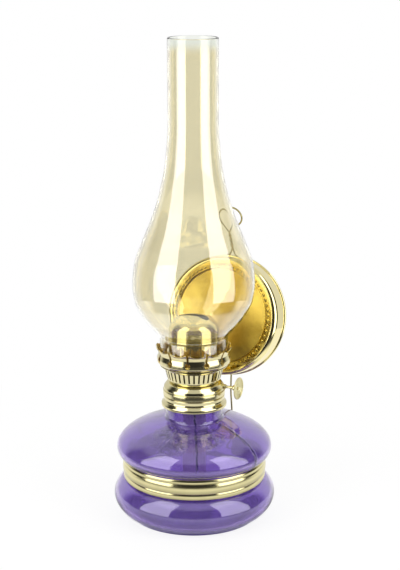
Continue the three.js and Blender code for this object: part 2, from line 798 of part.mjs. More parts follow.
function domeGeometry() {
  const line = [
    [domeRadius + domeFlange, domeBottom],
    [domeRadius, domeBottom],
    [domeRadius, domeSkirtTop - domeBeadHeight],
    [domeRadius + domeBead, domeSkirtTop - domeBeadHeight * half],
    ...arc(0, domeSkirtTop, domeRadius, domeHeight, 0, 90, arcSteps + 1),
  ];
  const inner = offsetLine(line, domeSheet);
  inner[inner.length - 1][0] = 0;
  const shell = turned([...line, ...inner.reverse()], burnerSteps);
  const slot = block(domeSlotLength, domeSlotWidth, domeHeight, 0, 0, domeSkirtTop + domeHeight);
  return cut(shell, [slot]);
}

addPiece('flame_dome', domeGeometry(), satinBrass);

// Wick raiser: spindle, two toothed wheels, knob disc and the ferrule that holds it
function spindleGeometry() {
  const farEnd = -housingInnerWidth * half - housingSheet - spindleOverhang;
  return rodAlongX(spindleRadius, farEnd, knobFaceX, wheelY, spindleHeight);
}

addPiece('wick_spindle', spindleGeometry(), brass);

function wheelGeometry() {
  const points = [];
  for (let tooth = 0; tooth < wheelTeeth; tooth += 1) {
    const angle = 2 * Math.PI * tooth / wheelTeeth;
    const next = angle + Math.PI / wheelTeeth;
    points.push([wheelRadius * Math.cos(angle), wheelRadius * Math.sin(angle)]);
    const root = wheelRadius - wheelToothDepth;
    points.push([root * Math.cos(next), root * Math.sin(next)]);
  }
  const wheel = extruded(points, wheelThickness).translate(0, 0, -wheelThickness * half);
  const bore = rodAlongX(spindleRadius + seatGap, -wheelThickness, wheelThickness, 0, 0);
  return cut(weld(wheel.rotateY(Math.PI / 2)), [bore]);
}

const wheel = wheelGeometry();
['wick_wheel_left', 'wick_wheel_right'].forEach((name, i) => {
  addPiece(name, wheel.clone(), satinBrass).position.set(wheelPlaces[i], wheelY, spindleHeight);
});

// Profiles here are turned about Z and then laid along +X.
function alongX(mesh, x) {
  mesh.rotation.y = Math.PI / 2;
  mesh.position.set(x, wheelY, spindleHeight);
  return mesh;
}

function knobGeometry() {
  const bore = spindleRadius + seatGap;
  const rim = knobRadius - knobRimRadius;
  return turned([
    [bore, -knobSheet],
    [rim, knobDish - knobSheet],
    ...arc(rim, knobDish, knobRimRadius, knobRimRadius, -90, 90, 4),
    [rim - knobRimRadius, knobDish],
    [knobRadius * half, knobDish * half],
    [knobRadius * half - knobDish * half, knobDish * half + seatGap],
    [bore, 0],
  ], burnerSteps);
}

alongX(addPiece('knob_disc', knobGeometry(), satinBrass), knobFaceX - ferruleFront - seatGap);

function ferruleGeometry() {
  const bore = spindleRadius + seatGap;
  return turned([
    [bore, -ferruleBack],
    [ferruleRadius, -ferruleBack],
    [ferruleRadius, 0],
    [bore, 0],
  ], smallSteps);
}

const ferruleX = knobFaceX - ferruleFront - knobSheet - 2 * seatGap;
alongX(addPiece('knob_ferrule', ferruleGeometry(), brass), ferruleX);

// Wick
function wickGeometry() {
  const wickTop = tubeTop + wickOut;
  const wickBottom = fontFloor + wickFloorGap;
  return block(wickWidth, wickThickness, wickTop - wickBottom, 0, 0, (wickTop + wickBottom) * half);
}

addPiece('flat_wick', wickGeometry(), cottonFinish);

// Chimney glass
function chimneyOuterLine() {
  const fromShares = (slimR, wideR, lowZ, highZ, riseShares, widenShares) => riseShares
    .map((rise, i) => [slimR + (wideR - slimR) * widenShares[i], lowZ + (highZ - lowZ) * rise]);
  const chimneyFoot = crownBottom + crownSheet + seatGap;
  const fitterTop = chimneyFoot + chimneyFitterHeight;
  const bulbMiddle = fitterTop + bulbRise;
  const tubeStart = bulbMiddle + taperRise;
  const chimneyTop = tubeStart + chimneyTubeLength;
  return [
    [chimneyFitterRadius, chimneyFoot],
    [chimneyFitterRadius, fitterTop],
    ...fromShares(chimneyFitterRadius, bulbRadius, fitterTop, bulbMiddle,
      bulbRiseShares, bulbWidenShares),
    [bulbRadius, bulbMiddle],
    ...fromShares(chimneyTubeRadius, bulbRadius, bulbMiddle, tubeStart,
      taperRiseShares, taperWidenShares),
    [chimneyTubeRadius, tubeStart],
    [chimneyTubeRadius, chimneyTop - chimneyRimRound],
    [chimneyTubeRadius - chimneyRimRound, chimneyTop],
  ];
}

addPiece('chimney_glass', turned(sheetOutline(chimneyOuterLine(), chimneyWall)), clearGlass);

export default lamp;
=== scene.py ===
"""Glass kerosene lamp: the visible pieces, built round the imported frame.

The lamp stands on the floor at the origin. +Z is up, the wall side is +Y and the wick knob is at +X.
Outlines are lists of (radius, height) in millimetres, and every mesh is in metres.
"""

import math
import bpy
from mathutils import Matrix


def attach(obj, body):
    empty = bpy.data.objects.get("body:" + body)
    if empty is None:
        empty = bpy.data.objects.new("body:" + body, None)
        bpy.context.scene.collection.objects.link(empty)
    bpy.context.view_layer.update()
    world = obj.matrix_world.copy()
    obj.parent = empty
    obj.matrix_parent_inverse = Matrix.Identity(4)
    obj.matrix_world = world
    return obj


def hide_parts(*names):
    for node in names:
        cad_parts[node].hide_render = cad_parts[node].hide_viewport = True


bl_info = {
    "name": "Glass Kerosene Lamp",
    "version": (1, 0, 0),
    "blender": (4, 5, 0),
    "location": "View3D > Sidebar > Lamp",
    "description": "Builds the visible pieces of a glass kerosene lamp round its packed frame",
    "category": "Add Mesh",
}

import bmesh
import bpy
from bpy.props import FloatProperty, FloatVectorProperty, IntProperty, PointerProperty
from mathutils import Matrix, Vector

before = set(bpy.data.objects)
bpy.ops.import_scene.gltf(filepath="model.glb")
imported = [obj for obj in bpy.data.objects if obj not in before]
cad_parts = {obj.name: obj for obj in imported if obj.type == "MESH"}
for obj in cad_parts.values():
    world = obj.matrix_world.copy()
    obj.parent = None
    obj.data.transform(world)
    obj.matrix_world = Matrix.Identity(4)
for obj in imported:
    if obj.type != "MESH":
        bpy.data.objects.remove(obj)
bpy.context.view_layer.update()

MM = 0.001
BURNER_SHEET = 0.5                      # thickness of the burner's pressed brass, in millimetres
SPINDLE_Y, SPINDLE_Z = 6.15, 99.222     # the wick spindle's axis, in millimetres
SOFT = {"interpolation_type": "SMOOTHSTEP"}     # a map range that eases in and out


def linear(code):
    """The linear colour of an sRGB hex code, as red, green and blue."""
    parts = [int(code[i:i + 2], 16) / 255 for i in (0, 2, 4)]
    return tuple(c / 12.92 if c <= 0.04045 else ((c + 0.055) / 1.055) ** 2.4 for c in parts)


def mm(metres):
    return metres / MM


# Settings

def length(name, description, millimetres):
    return FloatProperty(name=name, description=description, default=millimetres * MM,
                         min=0, unit="LENGTH", precision=5)


def angle(name, description, degrees):
    return FloatProperty(name=name, description=description, default=math.radians(degrees),
                         unit="ROTATION", subtype="ANGLE")


def tint(name, description, code):
    return FloatVectorProperty(name=name, description=description, default=linear(code),
                               size=3, min=0, max=1, subtype="COLOR")


def share(name, description, value):
    return FloatProperty(name=name, description=description, default=value, min=0, max=1,
                         subtype="FACTOR")


def count(name, description, value):
    return IntProperty(name=name, description=description, default=value, min=1)


class LampFontSettings(bpy.types.PropertyGroup):
    foot: length("Foot radius", "Radius of the foot that the lamp stands on", 49.2)
    lower_lobe: length("Lower lobe radius", "Widest radius of the lobe below the band", 60.4)
    waist: length("Waist radius", "Radius of the groove that holds the band", 50.4)
    upper_lobe: length("Upper lobe radius", "Widest radius of the lobe above the band", 58.1)
    neck: length("Neck radius", "Outer radius of the neck under the collar", 20.9)
    neck_top: length("Neck top", "Height of the neck's rim", 91.22)
    wall: length("Wall", "Thickness of the blown wall", 3)
    colour: tint("Glass colour", "What one wall of the glass lets through", "ad93dc")
    haze: share("Haze", "Share of the light that the colour layer scatters", 0.15)


class LampBandSettings(bpy.types.PropertyGroup):
    radius: length("Inner radius", "Inner radius of the strip", 52.6)
    bottom: length("Bottom", "Height of the strip's lower edge", 29.5)
    width: length("Width", "Width of the strip", 15)
    relief: length("Relief", "How far a ridge stands out", 0.8)
    opening: length("Opening", "Gap at the back for the hanger's legs", 17)
    colour: tint("Brass colour", "Pale brass of the band", "e2d9a4")


class LampHangerSettings(bpy.types.PropertyGroup):
    wire: length("Wire diameter", "Diameter of the hanger's wire", 1.3)
    legs: length("Leg spacing", "From the middle of one leg to the middle of the other", 10.4)
    loop: length("Loop radius", "Centre line of the hanging loop", 8)
    lean: angle("Hanger lean", "How far the twist and the loop lean to the lamp", 17)
    colour: tint("Wire colour", "Plated wire", "b9ad74")


class LampReflectorSettings(bpy.types.PropertyGroup):
    disc: length("Disc radius", "Radius of the bright flat disc", 36.3)
    pan: length("Pan radius", "Outer radius of the pan's back edge", 47)
    depth: length("Pan depth", "From the disc back to the pan's edge", 15.5)
    lean: angle("Reflector lean", "How far the disc's top leans back", 12)
    beads: count("Beads", "Embossed beads round the slope", 60)
    colour: tint("Lacquer colour", "Gold lacquer over satin brass", "dfc76c")


class LampBurnerSettings(bpy.types.PropertyGroup):
    slots: count("Basket slots", "Air slots round the basket", 36)
    leaves: count("Crown leaves", "Leaves that grip the chimney", 12)
    slit: length("Slit width", "Width of the slit between two leaves", 1.7)
    keyhole: length("Keyhole radius", "Radius of the hole at the foot of each slit", 2.1)
    knob: length("Knob radius", "Radius of the wick knob's disc", 8.3)
    colour: tint("Brass colour", "Pale brass of the burner", "e9dfaf")
    wick_colour: tint("Cotton colour", "Unbleached cotton of the wick", "f0ead9")


class LampChimneySettings(bpy.types.PropertyGroup):
    fitter: length("Fitter radius", "Outer radius of the straight foot in the crown", 25.2)
    bulb: length("Bulb radius", "Widest outer radius", 44.9)
    tube: length("Tube radius", "Outer radius of the straight top", 18.2)
    wall: length("Wall", "Thickness of the glass", 1.6)
    colour: tint("Lustre colour", "Amber lustre fired on the glass", "fdf8e2")
    clear_colour: tint("Clear colour", "Bare glass near the rim", "f6f8f2")


class LampStageSettings(bpy.types.PropertyGroup):
    camera_azimuth: angle("Camera azimuth", "Turn of the camera from the lamp's front to its right", 25)
    camera_pitch: angle("Camera pitch", "How far the camera looks down", 14.6)
    camera_roll: angle("Camera roll", "How far the camera leans to its right", 0.2)
    camera_reach: length("Camera distance", "From the lamp's axis, along the floor", 990)
    camera_height: length("Camera height", "Above the floor", 434)
    lens: FloatProperty(name="Lens", description="Focal length on a 36 mm sensor", default=88.42)
    box_left: angle("Left soft box", "From the camera's direction to the left soft box", 57)
    box_right: angle("Right soft box", "From the camera's direction to the right soft box", 58.5)
    box_width: length("Soft box width", "Width of each soft box", 830)
    box_height: length("Soft box height", "Height of each soft box", 2600)
    box_bottom: length("Soft box bottom", "How far each soft box hangs below the floor", 400)
    box_power: FloatProperty(name="Soft box power", description="Power of each soft box, in watts",
                             default=16)
    floor_colour: tint("Floor colour", "White paper", "fbfbfb")


SETTINGS = {
    "lamp_font": LampFontSettings,
    "lamp_band": LampBandSettings,
    "lamp_hanger": LampHangerSettings,
    "lamp_reflector": LampReflectorSettings,
    "lamp_burner": LampBurnerSettings,
    "lamp_chimney": LampChimneySettings,
    "lamp_stage": LampStageSettings,
}


def settings(name):
    return getattr(bpy.context.scene, name)


# Outlines

def arc(centre, radii, start, end, steps=16):
    """Points of an elliptic arc from one angle to another, in degrees."""
    turns = [math.radians(start + (end - start) * i / steps) for i in range(steps + 1)]
    return [(centre[0] + radii[0] * math.cos(t), centre[1] + radii[1] * math.sin(t)) for t in turns]


def rounded(corners, steps=5):
    """A line through (r, z) points, with an arc at each corner (r, z, radius)."""
    line = [tuple(corners[0][:2])]
    for before, here, after in zip(corners, corners[1:], corners[2:]):
        if len(here) < 3:
            line.append(tuple(here))
            continue
        corner = Vector(here[:2])
        to_before, to_after = Vector(before[:2]) - corner, Vector(after[:2]) - corner
        u, v = to_before.normalized(), to_after.normalized()
        half = u.angle(v) / 2
        reach = min(here[2] / math.tan(half), 0.49 * min(to_before.length, to_after.length))
        centre = corner + (u + v).normalized() * (reach / math.cos(half))
        start, end = corner + u * reach - centre, corner + v * reach - centre
        turn = start.angle(end)
        for i in range(steps + 1):
            t = i / steps
            spoke = (start * math.sin((1 - t) * turn) + end * math.sin(t * turn)) / math.sin(turn)
            line.append(tuple(centre + spoke))
    return line + [tuple(corners[-1][:2])]


def rounded_slot(width, height, radius):
    """A rectangle with rounded corners about the origin."""
    x, y = width / 2 - radius, height / 2 - radius
    corners = ((x, y, 0), (-x, y, 90), (-x, -y, 180), (x, -y, 270))
    return [p for cx, cy, start in corners
            for p in arc((cx, cy), (radius, radius), start, start + 90, 6)]


def offset(line, distance):
    """The line moved to its left as it is drawn, without the parts that would cross it."""
    least_step, least_cosine = 0.02, 0.2
    nearest = abs(distance) * 0.99 - 1e-5       # leaves room for rounding
    normals = []
    for (r, z), (next_r, next_z) in zip(line, line[1:]):
        along = Vector((next_r - r, next_z - z)).normalized()
        normals.append(Vector((-along.y, along.x)))
    kept = []
    for i, point in enumerate(line):
        before, after = normals[max(i - 1, 0)], normals[min(i, len(normals) - 1)]
        middle = (before + after).normalized()
        p = Vector(point) + middle * distance / max(middle.dot(after), least_cosine)
        if kept and (p - kept[-1]).length < least_step:
            continue
        if clearance(p, line) > nearest:
            kept.append(p)
    return [tuple(p) for p in kept]


def clearance(point, line):
    """The shortest distance from a point to a line."""
    best = math.inf
    for start, end in zip(line, line[1:]):
        a, b = Vector(start), Vector(end)
        along = b - a
        t = min(max((point - a).dot(along) / along.length_squared, 0), 1)
        best = min(best, (point - a - along * t).length)
    return best


def sheet(line, thickness):
    """The closed outline of a sheet: a line and its offset."""
    return line + offset(line, thickness)[::-1]


def smooth_through(points, steps=8):
    """A line through (r, z) points that rise in z, with no bulge between them."""
    slopes = [(b[0] - a[0]) / (b[1] - a[1]) for a, b in zip(points, points[1:])]
    tangents = [0.0]
    for before, after in zip(slopes, slopes[1:]):
        tangents.append(2 * before * after / (before + after) if before * after > 0 else 0.0)
    tangents.append(0.0)
    line = []
    for i, (a, b) in enumerate(zip(points, points[1:])):
        rise = b[1] - a[1]
        for k in range(steps):
            t = k / steps
            radius = (a[0] * (2 * t ** 3 - 3 * t ** 2 + 1) + b[0] * (3 * t ** 2 - 2 * t ** 3)
                      + tangents[i] * rise * (t ** 3 - 2 * t ** 2 + t)
                      + tangents[i + 1] * rise * (t ** 3 - t ** 2))
            line.append((radius, a[1] + rise * t))
    return line + [points[-1]]


# Meshes

def skin(mesh, rings, whole=True):
    """Joins each ring of corners to the next with faces. A ring may be one corner, repeated."""
    for low, high in zip(rings, rings[1:]):
        for j in range(len(low) if whole else len(low) - 1):
            k = (j + 1) % len(low)
            corners = list(dict.fromkeys((low[j], low[k], high[k], high[j])))
            if len(corners) > 2:
                mesh.faces.new(corners)
    bmesh.ops.recalc_face_normals(mesh, faces=mesh.faces)
    return mesh


def lathe(outline, steps, sweep=(0, 360)):
    """A closed outline turned about Z, all the way round or from one angle to another."""
    mesh = bmesh.new()
    whole = sweep[1] - sweep[0] >= 360
    columns = steps if whole else steps + 1
    turns = [math.radians(sweep[0] + (sweep[1] - sweep[0]) * j / steps) for j in range(columns)]
    rings = []
    for r, z in outline:
        if r < 1e-6:
            rings.append([mesh.verts.new((0, 0, z * MM))] * columns)
        else:
            rings.append([mesh.verts.new((r * MM * math.cos(t), r * MM * math.sin(t), z * MM))
                          for t in turns])
    if not whole:
        for column in (0, -1):
            mesh.faces.new([ring[column] for ring in rings])
    return skin(mesh, rings + rings[:1], whole)


def tube(points, radius, sides=16, cap_steps=4):
    """A round wire along points in metres, with a round end at each end."""
    tangents = [(after - before).normalized()
                for before, after in zip(points[:1] + points, points[1:] + points[-1:])]
    across = tangents[0].orthogonal().normalized()
    stations = []
    for place, along in zip(points, tangents):
        across = (across - along * across.dot(along)).normalized()
        stations.append((place, along, across, radius))
    ends = []
    for (place, along, side, _), way in ((stations[0], -1), (stations[-1], 1)):
        caps = [math.pi / 2 * i / cap_steps for i in range(1, cap_steps)]
        ends.append([(place + along * way * radius * math.sin(t), along, side, radius * math.cos(t))
                     for t in caps])
    mesh = bmesh.new()
    rings = []
    for place, along, side, reach in ends[0][::-1] + stations + ends[1]:
        other = along.cross(side)
        turns = [2 * math.pi * k / sides for k in range(sides)]
        rings.append([mesh.verts.new(place + (side * math.cos(t) + other * math.sin(t)) * reach)
                      for t in turns])
    tips = [[mesh.verts.new(tip)] * sides for tip in (points[0] - tangents[0] * radius,
                                                      points[-1] + tangents[-1] * radius)]
    return skin(mesh, tips[:1] + rings + tips[1:])


def prism(outline, low, high):
    """A closed (x, y) outline in millimetres, drawn up along Z between two heights."""
    mesh = bmesh.new()
    ends = [[mesh.verts.new((x * MM, y * MM, z * MM)) for x, y in outline] for z in (low, high)]
    for end in ends:
        mesh.faces.new(end)
    return skin(mesh, ends)


def as_data(name, mesh):
    """The mesh as data that an object can show. The mesh is used up."""
    data = bpy.data.meshes.new(name)
    mesh.to_mesh(data)
    mesh.free()
    return data


def in_scene(name, data):
    """A new object in the scene."""
    obj = bpy.data.objects.new(name, data)
    bpy.context.scene.collection.objects.link(obj)
    return obj


def joined(meshes):
    """One mesh of several, which are used up."""
    whole = bmesh.new()
    for mesh in meshes:
        data = as_data("part", mesh)
        whole.from_mesh(data)
        bpy.data.meshes.remove(data)
    return whole


def moved(mesh, matrix):
    mesh.transform(matrix)
    return mesh


def at(x, y, z, *quarter_turns):
    """A move in millimetres, after quarter turns about the axes, the last one first."""
    matrix = Matrix.Translation((x * MM, y * MM, z * MM))
    for axis in quarter_turns:
        matrix = matrix @ Matrix.Rotation(math.pi / 2, 4, axis)
    return matrix


def turned_copies(mesh, count, start=0):
    """Copies of a mesh, evenly round Z. The first is turned by a share of the pitch."""
    turns = [math.radians(360 / count * (i + start)) for i in range(count)]
    copies = [moved(mesh.copy(), Matrix.Rotation(turn, 4, "Z")) for turn in turns]
    mesh.free()
    return joined(copies)


def carve(mesh, tool):
    """The mesh with the tool's space cut out of it. Both are used up."""
    work, cutter = in_scene("work", as_data("work", mesh)), in_scene("tool", as_data("tool", tool))
    cut = work.modifiers.new("cut", "BOOLEAN")
    cut.operation, cut.solver, cut.object = "DIFFERENCE", "EXACT", cutter
    result = bmesh.new()
    result.from_object(work, bpy.context.evaluated_depsgraph_get())
    for obj in (work, cutter):
        data = obj.data
        bpy.data.objects.remove(obj)
        bpy.data.meshes.remove(data)
    bmesh.ops.remove_doubles(result, verts=result.verts, dist=0.002 * MM)
    return result


def polar(point):
    """A point's distance from the Z axis in millimetres, and its angle round it."""
    return mm(math.hypot(point.x, point.y)), math.atan2(point.y, point.x)


def piece(name, mesh, material, body, nodes, sharp=35, inside=None):
    """A finished piece: smooth but for its edges, riding on its body and standing for its nodes.
    Faces that look to the lamp's axis take the inside material if there is one."""
    data = as_data(name, mesh)
    data.shade_smooth()
    data.set_sharp_from_angle(angle=math.radians(sharp))
    data.materials.append(material)
    if inside:
        data.materials.append(inside)
        most_outwards, most_level = 0.25, 0.8
        for face in data.polygons:
            outwards = Vector((face.center.x, face.center.y, 0)).normalized()
            if face.normal.dot(outwards) < most_outwards and abs(face.normal.z) < most_level:
                face.material_index = 1
    obj = in_scene(name, data)
    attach(obj, body)
    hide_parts(*nodes)


def finish_node(name, material):
    """Gives a node of the frame, whose shape stays, its material."""
    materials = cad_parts[name].data.materials
    materials.clear()
    materials.append(material)


# Materials

def add(tree, kind, *values, **settings):
    """Adds a shader node with its settings. Its sockets get values or links in their own order, or
    by name or number from a dictionary. A node stands for its first output that is in use."""
    node = tree.nodes.new("ShaderNode" + kind)
    for name, value in settings.items():
        setattr(node, name, value)
    named = values[0] if values and isinstance(values[0], dict) else dict(enumerate(values))
    for socket, value in named.items():
        if isinstance(value, bpy.types.Node):
            value = next(output for output in value.outputs if output.enabled)
        if isinstance(value, bpy.types.NodeSocket):
            tree.links.new(value, node.inputs[socket])
        else:
            node.inputs[socket].default_value = value
    return node


def per_metre(size):
    """The scale of a pattern whose marks are about so many millimetres across."""
    return 1 / (size * MM)


def rgba(colour, scale=1):
    return (*(min(1, c * scale) for c in colour), 1)


def blank(name):
    """An empty material, its node tree and the place of a point on the object, in metres."""
    material = bpy.data.materials.new(name)
    material.use_nodes = True
    tree = material.node_tree
    tree.nodes.clear()
    return material, tree, add(tree, "TexCoord").outputs["Object"]


def glass_output(tree, glass, shade):
    """Joins glass to the output. Lamps pass straight through it, tinted by shade."""
    shadow = add(tree, "LightPath").outputs["Is Shadow Ray"]
    through = add(tree, "BsdfTransparent", rgba(shade))
    add(tree, "OutputMaterial", add(tree, "MixShader", shadow, glass, through))


def violet_lacquered_glass(colour, haze):
    """Soda-lime glass blown in a mould, with a stoved violet lacquer. The lacquer is thin, so rims
    stay pale and the body is even, slightly milky violet. The mould leaves slow ripples, and
    chill wrinkles round the shoulder that glitter."""
    material, tree, place = blank("soda_glass_mould_blown_violet_lacquered")
    height = add(tree, "SeparateXYZ", place).outputs["Z"]
    ripple = add(tree, "TexNoise", {"Vector": place, "Scale": per_metre(26), "Detail": 1.5})
    # Real chill wrinkles lie about 4 mm apart. At this distance those show as grey, so they are
    # drawn coarser, about 12 mm apart with finer ones between.
    wrinkle = add(tree, "TexNoise", {"Vector": place, "Scale": per_metre(12), "Detail": 3,
                                     "Distortion": 1.5})
    wrinkle = add(tree, "Math", wrinkle, 0.5, operation="SUBTRACT")
    wrinkle = add(tree, "Math", wrinkle, operation="ABSOLUTE")
    crease = add(tree, "MapRange", wrinkle, 0.015, 0.06, 1, 0)
    chill = 0.0
    for centre, reach in (((-1, -38, 70), 19), ((24, -27, 71), 13), ((-20, 30, 71), 16)):
        away = add(tree, "VectorMath", place, Vector(centre) * MM, operation="DISTANCE")
        chilled = add(tree, "MapRange", away, reach * 0.6 * MM, reach * MM, 1, 0)
        chill = add(tree, "Math", chill, chilled, operation="MAXIMUM")
    chill = add(tree, "Math", chill, crease, operation="MULTIPLY")
    seam = crease_line(tree, place, height, 27, (50, 100), 0.8)
    fold = crease_line(tree, place, height, 76, (46, 74), 1.8)
    lines = add(tree, "Math", fold, 0.9, seam, operation="MULTIPLY_ADD", use_clamp=True)
    relief = add(tree, "Math", chill, 1.3, ripple, operation="MULTIPLY_ADD")
    relief = add(tree, "Math", relief, lines, operation="ADD")
    bump = add(tree, "Bump", {"Strength": 0.8, "Distance": 0.7 * MM, "Height": relief})
    streak = add(tree, "TexNoise", {"Vector": place, "Scale": per_metre(40), "Detail": 3,
                                    "Distortion": 2})
    shade = add(tree, "Mix", {0: streak, 6: rgba(colour, 0.86), 7: rgba(colour, 1.12)},
                data_type="RGBA")
    # Painted shade: the chill wrinkles, the mould's seam and the fold are darkened to deep violet along
    # their creases.
    marks = add(tree, "Math", chill, 0.5, lines, operation="MULTIPLY_ADD", use_clamp=True)
    shade = add(tree, "Mix", {0: marks, 6: shade, 7: rgba(linear("3b2670"))}, data_type="RGBA")
    glass = add(tree, "BsdfPrincipled", {
        "Base Color": shade, "Roughness": 0.02, "IOR": 1.52, "Transmission Weight": 1 - haze,
        "Coat Weight": 1, "Coat Roughness": 0.05, "Coat IOR": 1.6, "Normal": bump})
    glass_output(tree, glass, linear("a08cca"))
    return material


def crease_line(tree, place, height, azimuth, heights, width):
    """A line up the glass, front and back, at an azimuth in degrees from the front, between two
    heights in millimetres. It is about as wide as width says in millimetres, and it wavers and
    breaks where the glass had cooled: the mould's seam, or a fold in the shoulder."""
    turn = math.radians(azimuth)
    across = add(tree, "VectorMath", place, (math.cos(turn), math.sin(turn), 0),
                 operation="DOT_PRODUCT")
    waver = add(tree, "TexNoise", {"Vector": place, "Scale": per_metre(4), "Detail": 3})
    away = add(tree, "Math", waver, 4 * MM, across, operation="MULTIPLY_ADD")
    away = add(tree, "Math", away, 2 * MM, operation="SUBTRACT")
    away = add(tree, "Math", away, operation="ABSOLUTE")
    line = add(tree, "MapRange", away, 0.35 * width * MM, width * MM, 1, 0)
    blots = add(tree, "TexNoise", {"Vector": place, "Scale": per_metre(5.3)})
    low, high = (h * MM for h in heights)
    for fade in (add(tree, "MapRange", blots, 0.36, 0.44),
                 add(tree, "MapRange", height, low, low + 6 * MM),
                 add(tree, "MapRange", height, high - 3 * MM, high, 1, 0)):
        line = add(tree, "Math", line, fade, operation="MULTIPLY")
    return line


def lustred_chimney_glass(colour, clear):
    """Thin blown glass with an amber lustre fired on. The lustre thins out to bare glass below
    the rim, and gives the glass a cream tone."""
    material, tree, place = blank("amber_lustred_glass_blown")
    height = add(tree, "SeparateXYZ", place).outputs["Z"]
    fade = add(tree, "MapRange", height, 343.5 * MM, 351 * MM, **SOFT)
    body = add(tree, "Mix", {0: fade, 6: rgba(colour), 7: rgba(clear)}, data_type="RGBA")
    lustre = add(tree, "Math", 1, fade, operation="SUBTRACT")
    ripple = add(tree, "TexNoise", {"Vector": place, "Scale": per_metre(22), "Detail": 1})
    bump = add(tree, "Bump", {"Strength": 0.12, "Distance": 0.3 * MM, "Height": ripple})
    glass = add(tree, "BsdfPrincipled", {
        "Base Color": body, "Roughness": 0.01, "IOR": 1.42, "Transmission Weight": 1,
        "Coat Weight": lustre, "Coat Roughness": 0.02, "Coat IOR": 1.75, "Normal": bump})
    glass_output(tree, glass, linear("faf7ee"))
    return material


def brass(name, colour, roughness, waviness=0.1, tarnish="8c7c46", tarnish_share=0.15, satin=None,
          metallic=1.0):
    """Sheet brass, bright as pressed. Its colour is a little deeper where it has dulled, and the
    press leaves it very slightly wavy, which softens the edges of what it mirrors. Satin, if
    given, is a centre, a reach round it that is satin, its roughness, and a paler colour from a
    few millimetres outside that reach: a painted reflection of the white room."""
    material, tree, place = blank(name)
    cloud = add(tree, "TexNoise", {"Vector": place, "Scale": per_metre(17), "Detail": 4,
                                   "Roughness": 0.6})
    dull = add(tree, "MapRange", cloud, 0.4, 0.8, 0, tarnish_share)
    shade = add(tree, "Mix", {0: dull, 6: rgba(colour), 7: rgba(linear(tarnish))}, data_type="RGBA")
    gloss = add(tree, "MapRange", cloud, 0, 1, roughness * 0.8, roughness * 1.3)
    if satin:
        centre, reach, satin_roughness, painted_reflection_colour = satin
        away = add(tree, "VectorMath", place, centre, operation="DISTANCE")
        inside = add(tree, "MapRange", away, reach - MM, reach, satin_roughness - roughness, 0)
        gloss = add(tree, "Math", gloss, inside, operation="ADD")
        # Painted reflection: from a few millimetres outside the satin reach the colour turns paler, for
        # the white room that the wall mirrors.
        bare = add(tree, "MapRange", away, reach + 4 * MM, reach + 8 * MM)
        shade = add(tree, "Mix", {0: bare, 6: shade, 7: rgba(painted_reflection_colour)}, data_type="RGBA")
    wave = add(tree, "TexNoise", {"Vector": place, "Scale": per_metre(7.7), "Detail": 2})
    bump = add(tree, "Bump", {"Strength": waviness, "Distance": 0.2 * MM, "Height": wave})
    add(tree, "OutputMaterial", add(tree, "BsdfPrincipled", {
        "Base Color": shade, "Metallic": metallic, "Roughness": gloss, "Normal": bump}))
    return material


def woven_cotton(colour):
    """Soft cotton tape, woven. Its warp ribs run up the wick and catch the light."""
    material, tree, place = blank("cotton_tape_woven")
    # A wave at scale 1 repeats 20 times in 2 pi metres. The ribs are 2 mm apart and the weft
    # 1.2 mm, twice as coarse as real tape, so that they show.
    repeat = math.pi / 10
    warp = add(tree, "TexWave", {"Vector": place, "Scale": repeat * per_metre(2),
                                 "Distortion": 0.4}, bands_direction="X")
    weft = add(tree, "TexWave", {"Vector": place, "Scale": repeat * per_metre(1.2),
                                 "Distortion": 0.5}, bands_direction="Z")
    weave = add(tree, "Math", warp.outputs[1], weft.outputs[1], operation="MULTIPLY")
    bump = add(tree, "Bump", {"Strength": 0.8, "Distance": 0.15 * MM, "Height": weave})
    shade = add(tree, "Mix", {0: weave, 6: rgba(linear("cfc6b0")), 7: rgba(colour)},
                data_type="RGBA")
    add(tree, "OutputMaterial", add(tree, "BsdfPrincipled", {
        "Base Color": shade, "Roughness": 0.95, "Sheen Weight": 0.3, "Normal": bump}))
    return material


def cast_plaster():
    """Gypsum plaster, cast wet between collar and neck. It is chalky, with small pores."""
    material, tree, place = blank("gypsum_plaster_cast")
    # Real pores are a few tenths of a millimetre across. They are drawn about 1 mm, to show.
    pores = add(tree, "TexNoise", {"Vector": place, "Scale": per_metre(1.1), "Detail": 3})
    bump = add(tree, "Bump", {"Strength": 0.6, "Distance": 0.1 * MM, "Height": pores})
    shade = add(tree, "Mix", {0: pores, 6: rgba(linear("d8d2c4")), 7: rgba(linear("f0ece2"))},
                data_type="RGBA")
    add(tree, "OutputMaterial", add(tree, "BsdfPrincipled", {
        "Base Color": shade, "Roughness": 0.95, "Normal": bump}))
    return material


# Stage

def away_from(azimuth):
    """The level direction in which someone at that azimuth looks at the lamp."""
    return Vector((-math.sin(azimuth), math.cos(azimuth), 0))


def rays(tree):
    """What kind of ray it is, and a share that is 1 for a ray that was mirrored and 0 for others."""
    path = add(tree, "LightPath").outputs
    return path, add(tree, "Math", path["Is Glossy Ray"], path["Is Transmission Ray"],
                     operation="SUBTRACT", use_clamp=True)


